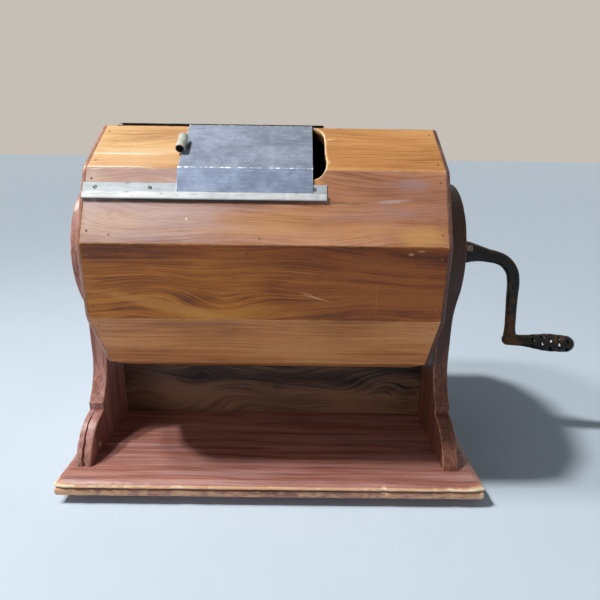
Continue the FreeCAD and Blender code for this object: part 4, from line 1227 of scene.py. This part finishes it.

# Golden stave: the left end is tinted lighter and bluer (painted light) and the right end darker
# (painted shade).
golden = wood("golden_stave", *GOLDEN, wander=0.014, bands=0.5, streaks=0.5, blotches=1.0,
              light_and_shade=[((-0.17, 0.022), (0.15, 0.06), (1.16, 1.42, 1.74)),
                      ((0.15, 0.0), (0.12, 0.12), (0.92, 0.88, 0.78))],
              marks=[((-0.10, -0.034), (0.15, 0.015), ROSE, 0.25, 0),
                     ((-0.185, -0.018), (0.05, 0.0013), (0.88, 0.74, 0.58), 0.9, 0),
                     ((-0.135, -0.012), (0.07, 0.006), (0.74, 0.52, 0.34), 0.35, 0),
                     ((0.078, 0.020), (0.006, 0.0012), CHIP, 0.9, 0.15),
                     ((0.074, -0.030), (0.003, 0.004), CHIP, 0.8, 0),
                     ((0.15, 0.012), (0.06, 0.02), (0.42, 0.16, 0.045), 0.3, 0.1),
                     ((-0.19, -0.0462), (0.05, 0.0012), (0.88, 0.78, 0.70), 0.8, 0)])
# Salmon stave: the left end is tinted lighter and bluer (painted reflection), the right end darker
# (painted shade), with a painted sheen over all.
salmon = wood("salmon_stave", *SALMON, wander=0.02, bands=0.7, streaks=0.7, blotches=1.3,
              painted_sheen=(0.48, 0.29, 0.24, 0.4),
              light_and_shade=[((-0.18, 0.0), (0.15, 0.09), (1.06, 1.38, 1.95)),
                      ((0.20, 0.01), (0.13, 0.06), (0.84, 0.77, 0.75))],
              marks=[((0.0, -0.022), (0.06, 0.016), AMBER, 0.3, 0.1),
                     ((0.10, -0.030), (0.05, 0.010), AMBER, 0.25, 0),
                     ((0.186, -0.036), (0.026, 0.013), GILT, 0.55, 0),
                     ((0.176, 0.030), (0.018, 0.007), BLUE_HAZE, 0.35, 0),
                     ((0.150, 0.008), (0.018, 0.0022), SCUFF, 0.35, 0.1),
                     ((0.158, -0.006), (0.022, 0.005), BLUE_HAZE, 0.18, -0.1),
                     ((-0.15, 0.042), (0.09, 0.008), (0.36, 0.22, 0.21), 0.4, 0),
                     ((-0.206, 0.004), (0.008, 0.034), (0.60, 0.48, 0.42), 0.5, 0),
                     # Thin dark line just under the front rail: painted shadow of the rail on the
                     # stave.
                     ((-0.075, 0.0054), (0.16, 0.0024), DARK_DOTS_AND_RAIL_SHADOW, 0.85, 0),
                     ((0.060, 0.031), (0.008, 0.004), AMBER, 0.6, 0),
                     ((-0.0928, -0.0163), (0.0013, 0.0013), (0.85, 0.80, 0.72), 1.0, 0),
                     ((-0.1825, -0.0373), (0.0012, 0.0012), DARK_DOTS_AND_RAIL_SHADOW, 0.9, 0),
                     ((-0.0061, -0.0401), (0.0011, 0.0011), DARK_DOTS_AND_RAIL_SHADOW, 0.9, 0)])
# Brown stave: the right end and a band along the upper edge are tinted darker (painted shade), the
# lower left lighter (painted light).
brown = wood("brown_stave", *BROWN, wander=0.018, bands=0.8, streaks=1.1, blotches=1.5, fine=2.3,
             light_and_shade=[((0.18, 0.0), (0.17, 0.12), (0.66, 0.54, 0.62)),
                     ((-0.02, 0.045), (0.25, 0.022), (0.80, 0.72, 0.70)),
                     ((-0.10, -0.03), (0.12, 0.03), (1.10, 1.14, 0.90))],
             marks=[((-0.12, -0.030), (0.09, 0.006), (0.56, 0.25, 0.055), 0.5, -0.22),
                    ((0.063, -0.018), (0.017, 0.0004), CHIP, 0.8, -0.25),
                    ((0.052, -0.013), (0.010, 0.0003), CHIP, 0.7, -0.35),
                    ((0.135, -0.015), (0.0004, 0.020), CHIP, 0.12, 0),
                    ((-0.1733, 0.0360), (0.0017, 0.0012), DARK_DOTS_AND_RAIL_SHADOW, 0.95, 0),
                    ((-0.0210, 0.0368), (0.0013, 0.001), DARK_DOTS_AND_RAIL_SHADOW, 0.95, 0),
                    ((0.184, 0.042), (0.004, 0.0014), CHIP, 0.3, 0),
                    ((0.172, 0.038), (0.003, 0.0016), CHIP, 0.4, 0)])
tan = wood("tan_stave", *TAN, wander=0.006, bands=0.5, streaks=0.9, blotches=1.1, fine=1.3,
           marks=[((-0.10, 0.036), (0.08, 0.006), (0.22, 0.085, 0.040), 0.5, 0.04)])
plain_staves = [wood(f"plain_{name}_stave", *colours, *figure) for name, colours, figure in (
    ("golden", GOLDEN, (0.015, 0.8, 0.9, 1.3)), ("tan", TAN, (0.008, 0.6, 0.9, 1.1, 1.3)),
    ("brown", BROWN, (0.018, 0.8, 1.1, 1.5, 1.4)), ("salmon", SALMON, (0.02, 0.7, 0.7, 1.3)))]
end_wood = wood("end_wood", (0.15, 0.055, 0.030), (0.36, 0.165, 0.105), (0.50, 0.270, 0.190),
                (0.70, 0.52, 0.42), wander=0.02)
# A darker copy of the end wood for the right end board: partly its own darker tone, partly painted
# shade.
right_end_wood_painted_shade = wood("right_end_wood_painted_shade", (0.040, 0.016, 0.011), (0.092, 0.038, 0.028),
                      (0.19, 0.090, 0.066), (0.62, 0.42, 0.30), wander=0.02)
# The mahogany carries a painted sheen: a pale lilac-grey haze standing in for light reflected off
# its varnish.
mahogany = wood("mahogany", (0.130, 0.044, 0.030), (0.315, 0.128, 0.099), (0.46, 0.220, 0.178),
                (0.80, 0.52, 0.26), wander=0.005, bands=0.9, streaks=1.2, blotches=0.7, fine=2.1,
                painted_sheen=(0.46, 0.30, 0.30, 0.45), gloss=0.36)
# A darker copy of the mahogany for the right support and the plinth: painted shade. Its mark
# darkens the support's head by the axle: painted shadow of the drum.
mahogany_painted_shade = wood("mahogany_painted_shade", (0.085, 0.026, 0.016), (0.190, 0.068, 0.044),
                       (0.29, 0.120, 0.084), (0.70, 0.47, 0.25), wander=0.005, bands=0.8,
                       streaks=1.2, blotches=0.7, fine=1.2, gloss=0.4,
                       marks=[((0.353, 0.0), (0.20, 0.5), (0.035, 0.020, 0.014), 0.8, 0)])
# Stretcher: the top is tinted darker, a painted shadow of the drum above; a lighter band low down
# is painted light.
dark_wood = wood("dark_stretcher", (0.006, 0.004, 0.004), (0.105, 0.052, 0.034),
                 (0.24, 0.130, 0.075), (0.30, 0.18, 0.11), wander=0.028, bands=1.6, streaks=2.1,
                 blotches=1.6, fine=1.5, light_and_shade=[((0.0, 0.113), (0.5, 0.035), (0.55, 0.55, 0.60))],
                 marks=[((0.0, 0.047), (0.35, 0.030), (0.25, 0.125, 0.072), 0.5, 0)])
zinc = zinc_sheet()
bright_rail = rail_metal("bright_rail", (0.49, 0.52, 0.535), (0.74, 0.77, 0.79), 0.0)
# A near-black copy of the rail metal for the rear rail: painted shade, with some tarnish.
rear_rail_shade_and_tarnish = rail_metal("rear_rail_shade_and_tarnish", (0.030, 0.028, 0.026), (0.075, 0.070, 0.065), 0.3)
iron = black_iron()
steel = old_metal("dark_steel", (0.10, 0.085, 0.07), (0.30, 0.27, 0.23), 0.7, 0.4, 300.0)
dark_screw = old_metal("dark_screw", (0.022, 0.020, 0.018), (0.085, 0.080, 0.072), 0.6, 0.4, 400.0)
screw_steel = old_metal("screw_steel", (0.16, 0.14, 0.12), (0.46, 0.44, 0.40), 0.8, 0.35, 400.0)
tube_zinc = old_metal("tube_zinc", (0.52, 0.53, 0.47), (0.76, 0.77, 0.74), 0.35, 0.15, 90.0)
pale_rivet = old_metal("pale_rivet", (0.45, 0.42, 0.34), (0.74, 0.71, 0.62), 0.4, 0.4, 300.0)
brass = old_metal("dull_brass", (0.34, 0.25, 0.11), (0.66, 0.52, 0.27), 0.85, 0.32, 220.0)
plug_fill = old_metal("nail_filling", (0.13, 0.050, 0.025), (0.30, 0.130, 0.06), 0.0, 0.6, 500.0)

# Pieces
facet_finish = {0: salmon, 11: brown, 10: tan}
piece("door_stave_left_wood", [stave(DOOR_FACET, 1, left_of_mouth, mouth_end=1)], "drum",
      golden, ["door_stave_left"])
piece("door_stave_right_wood", [stave(DOOR_FACET, 2, right_of_mouth, mouth_end=-1)], "drum",
      golden, ["door_stave_right"])
mouth_bites = {DOOR_FACET - 1: dict(bites=(0, lower_bite), bite_slope=LOWER_BITE_SLOPE),
               DOOR_FACET + 1: dict(bites=(upper_bite, 0), bite_slope=UPPER_BITE_SLOPE)}
for facet in range(SIDES):
    if facet == DOOR_FACET:
        continue
    finish = facet_finish.get(facet, plain_staves[facet % len(plain_staves)])
    shape = stave(facet, facet + 3, **mouth_bites.get(facet, {}))
    piece(f"stave_{facet + 1:02d}_wood", [shape], "drum", finish,
          [f"stave_{facet + 1:02d}"])
piece("nail_plugs", nail_plugs(), "drum", plug_fill, ["stave_nails"])
for name, side in (("left", -1), ("right", 1)):
    # The right end board takes the darker end wood: partly painted shade.
    piece(f"{name}_end_board_wood", [end_board(side)], "drum",
          right_end_wood_painted_shade if side > 0 else end_wood, [f"{name}_end_board"])
    # The right support takes the darker copy of the mahogany: painted shade.
    piece(f"{name}_support_wood", [support(side)], "stand",
          mahogany_painted_shade if side > 0 else mahogany, [f"{name}_support"])
    piece(f"{name}_bush_ring", [bush(side)], "stand", brass, [f"{name}_bush"])
piece("door_zinc_sheet", [door_sheet()], "door", zinc, ["door_sheet"])
piece("door_rolled_pull", [rolled_pull()], "door", tube_zinc)
# The rear rail takes the near-black copy of the rail metal: painted shade, with some tarnish.
for name, side, finish in (("front_rail", -1, bright_rail), ("rear_rail", 1, rear_rail_shade_and_tarnish)):
    piece(f"{name}_strip", [rail(name, side)], "drum", finish, [name])
piece("rail_screw_heads", rail_screw_heads(), "drum", dark_screw,
      ["rail_screws"])
piece("base_board_wood", [base_board()], "stand", mahogany, ["base_board"])
# The plinth takes the darker copy of the mahogany: painted shade.
piece("plinth_wood", [plinth()], "stand", mahogany_painted_shade, ["plinth_board"])
piece("stretcher_wood", [stretcher()], "stand", dark_wood, ["stretcher_board"])
piece("crank_casting", [crank_arm(), *grip_ends(), lattice()], "drum", iron,
      ["crank"])
piece("crank_square_screw", [set_screw()], "drum", steel, ["crank_set_screw"])

stretcher_screw_low, stretcher_screw_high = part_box("stretcher_screws")
screw_z = (stretcher_screw_low.z + SCREW_RADIUS, stretcher_screw_high.z - SCREW_RADIUS)
side_heads = []
for side in (-1, 1):
    spots = [(side * (support_outer - 0.05 * MM), 0, z) for z in screw_z]
    side_heads += screw_heads(spots, (side, 0, 0))
piece("stretcher_screw_heads", side_heads, "stand", screw_steel,
      ["stretcher_screws"])
screw_inset = plinth_inset + PLINTH_SCREW_MARGIN
screw_x = np.linspace(base_low.x + screw_inset, base_high.x - screw_inset, 3)
screw_y = (base_low.y + screw_inset, base_high.y - screw_inset)
under_heads = screw_heads([(x, y, 0.3 * MM) for x in screw_x for y in screw_y], (0, 0, -1))
piece("plinth_screw_heads", under_heads, "stand", screw_steel,
      ["plinth_screws"])

cad_finishes = {iron: ("left_gudgeon", "right_gudgeon"),
                screw_steel: ("left_flange_screws", "right_flange_screws", "base_screws"),
                steel: ("left_thrust_washer", "right_thrust_washer"),
                pale_rivet: ("foot_rivet",)}
for finish, nodes in cad_finishes.items():
    for node in nodes:
        frame["nodes"][node].data.materials.clear()
        frame["nodes"][node].data.materials.append(finish)

# Stage, light and camera
FLOOR_HALF = 40.0
floor_mesh = bpy.data.meshes.new("floor")
corners = [(x * FLOOR_HALF, y * FLOOR_HALF, 0) for x, y in ((-1, -1), (1, -1), (1, 1), (-1, 1))]
floor_mesh.from_pydata(corners, [], [(0, 1, 2, 3)])
floor_mesh.materials.append(pale_floor())
floor = bpy.data.objects.new("floor", floor_mesh)
bpy.context.scene.collection.objects.link(floor)


def look(made, place, right, up, forward):
    """Put an object at a place, with its -Z axis forward, into the scene."""
    axes = np.eye(4)
    axes[:3, :3] = np.stack([right, up, -forward], 1)
    axes[:3, 3] = place
    made.matrix_world = Matrix(axes.tolist())
    bpy.context.scene.collection.objects.link(made)


def lamp(name, kind, place, target, power, size, tint, spread=math.pi):
    """Soft light at a place, turned towards a target; size is a side in metres, or an angle."""
    light = bpy.data.lights.new(name, kind)
    light.energy, light.color = power, tint
    if kind == "SUN":
        light.angle = size
    else:
        light.size, light.spread = size, spread
    made = bpy.data.objects.new(name, light)
    made.visible_camera = False
    forward = unit(np.array(target, float) - place)
    right = unit(np.cross(forward, ALONG_Z))
    look(made, place, right, np.cross(right, forward), forward)


DRUM_FRONT, STAND_MIDDLE = (0.0, -0.02, 0.28), (0.0, 0.0, 0.22)
WARM, NEUTRAL = (1.0, 0.97, 0.93), (1.0, 0.98, 0.96)
lamp("high_light", "SUN", (-0.76, -0.16, 1.50), DRUM_FRONT, 2.25, math.radians(5), WARM)
lamp("near_light", "AREA", (-0.76, -0.20, 1.50), DRUM_FRONT, 12.0, 0.16, WARM)
lamp("left_fill", "AREA", (-1.5, -1.9, 0.55), STAND_MIDDLE, 4.4, 1.2, NEUTRAL, math.radians(120))


def soft_room():
    """World: dim even light on the object, and a pale wall for the camera and for reflections."""
    world = bpy.data.worlds.new("soft_room")
    world.use_nodes = True
    nodes, links = world.node_tree.nodes, world.node_tree.links
    room = nodes["Background"]
    room.inputs["Color"].default_value = (0.86, 0.92, 1.0, 1.0)
    room.inputs["Strength"].default_value = 0.16
    wall = nodes.new("ShaderNodeBackground")
    wall.inputs["Color"].default_value = (0.56, 0.52, 0.47, 1.0)
    wall.inputs["Strength"].default_value = 1.0
    path = nodes.new("ShaderNodeLightPath")
    seen = path.outputs["Is Camera Ray"]
    for kind in ("Is Glossy Ray", "Is Transmission Ray"):
        either = nodes.new("ShaderNodeMath")
        either.operation = "MAXIMUM"
        links.new(seen, either.inputs[0])
        links.new(path.outputs[kind], either.inputs[1])
        seen = either.outputs[0]
    blend = nodes.new("ShaderNodeMixShader")
    links.new(seen, blend.inputs[0])
    links.new(room.outputs[0], blend.inputs[1])
    links.new(wall.outputs[0], blend.inputs[2])
    links.new(blend.outputs[0], nodes["World Output"].inputs["Surface"])
    return world


bpy.context.scene.world = soft_room()
bpy.context.scene.view_settings.view_transform = "Standard"

FOCAL_PIXELS, IMAGE_PIXELS = 484.33, 600
CAMERA_YAW, CAMERA_PITCH, CAMERA_ROLL = 0.0047, 0.2949, 0.0140
CAMERA_FROM_AXLE = np.array([39.5, -736.9, 142.5]) * MM
camera_data = bpy.data.cameras.new("camera")
camera_data.sensor_width = 36.0
camera_data.lens = FOCAL_PIXELS / IMAGE_PIXELS * camera_data.sensor_width
camera = bpy.data.objects.new("camera", camera_data)
heading = np.array([math.sin(CAMERA_YAW), math.cos(CAMERA_YAW), 0.0])
forward = heading * math.cos(CAMERA_PITCH) - ALONG_Z * math.sin(CAMERA_PITCH)
level = np.array([math.cos(CAMERA_YAW), -math.sin(CAMERA_YAW), 0.0])
upright = np.cross(level, forward)
right = math.cos(CAMERA_ROLL) * level + math.sin(CAMERA_ROLL) * upright
up = math.cos(CAMERA_ROLL) * upright - math.sin(CAMERA_ROLL) * level
look(camera, axle + CAMERA_FROM_AXLE, right, up, forward)
bpy.context.scene.camera = camera
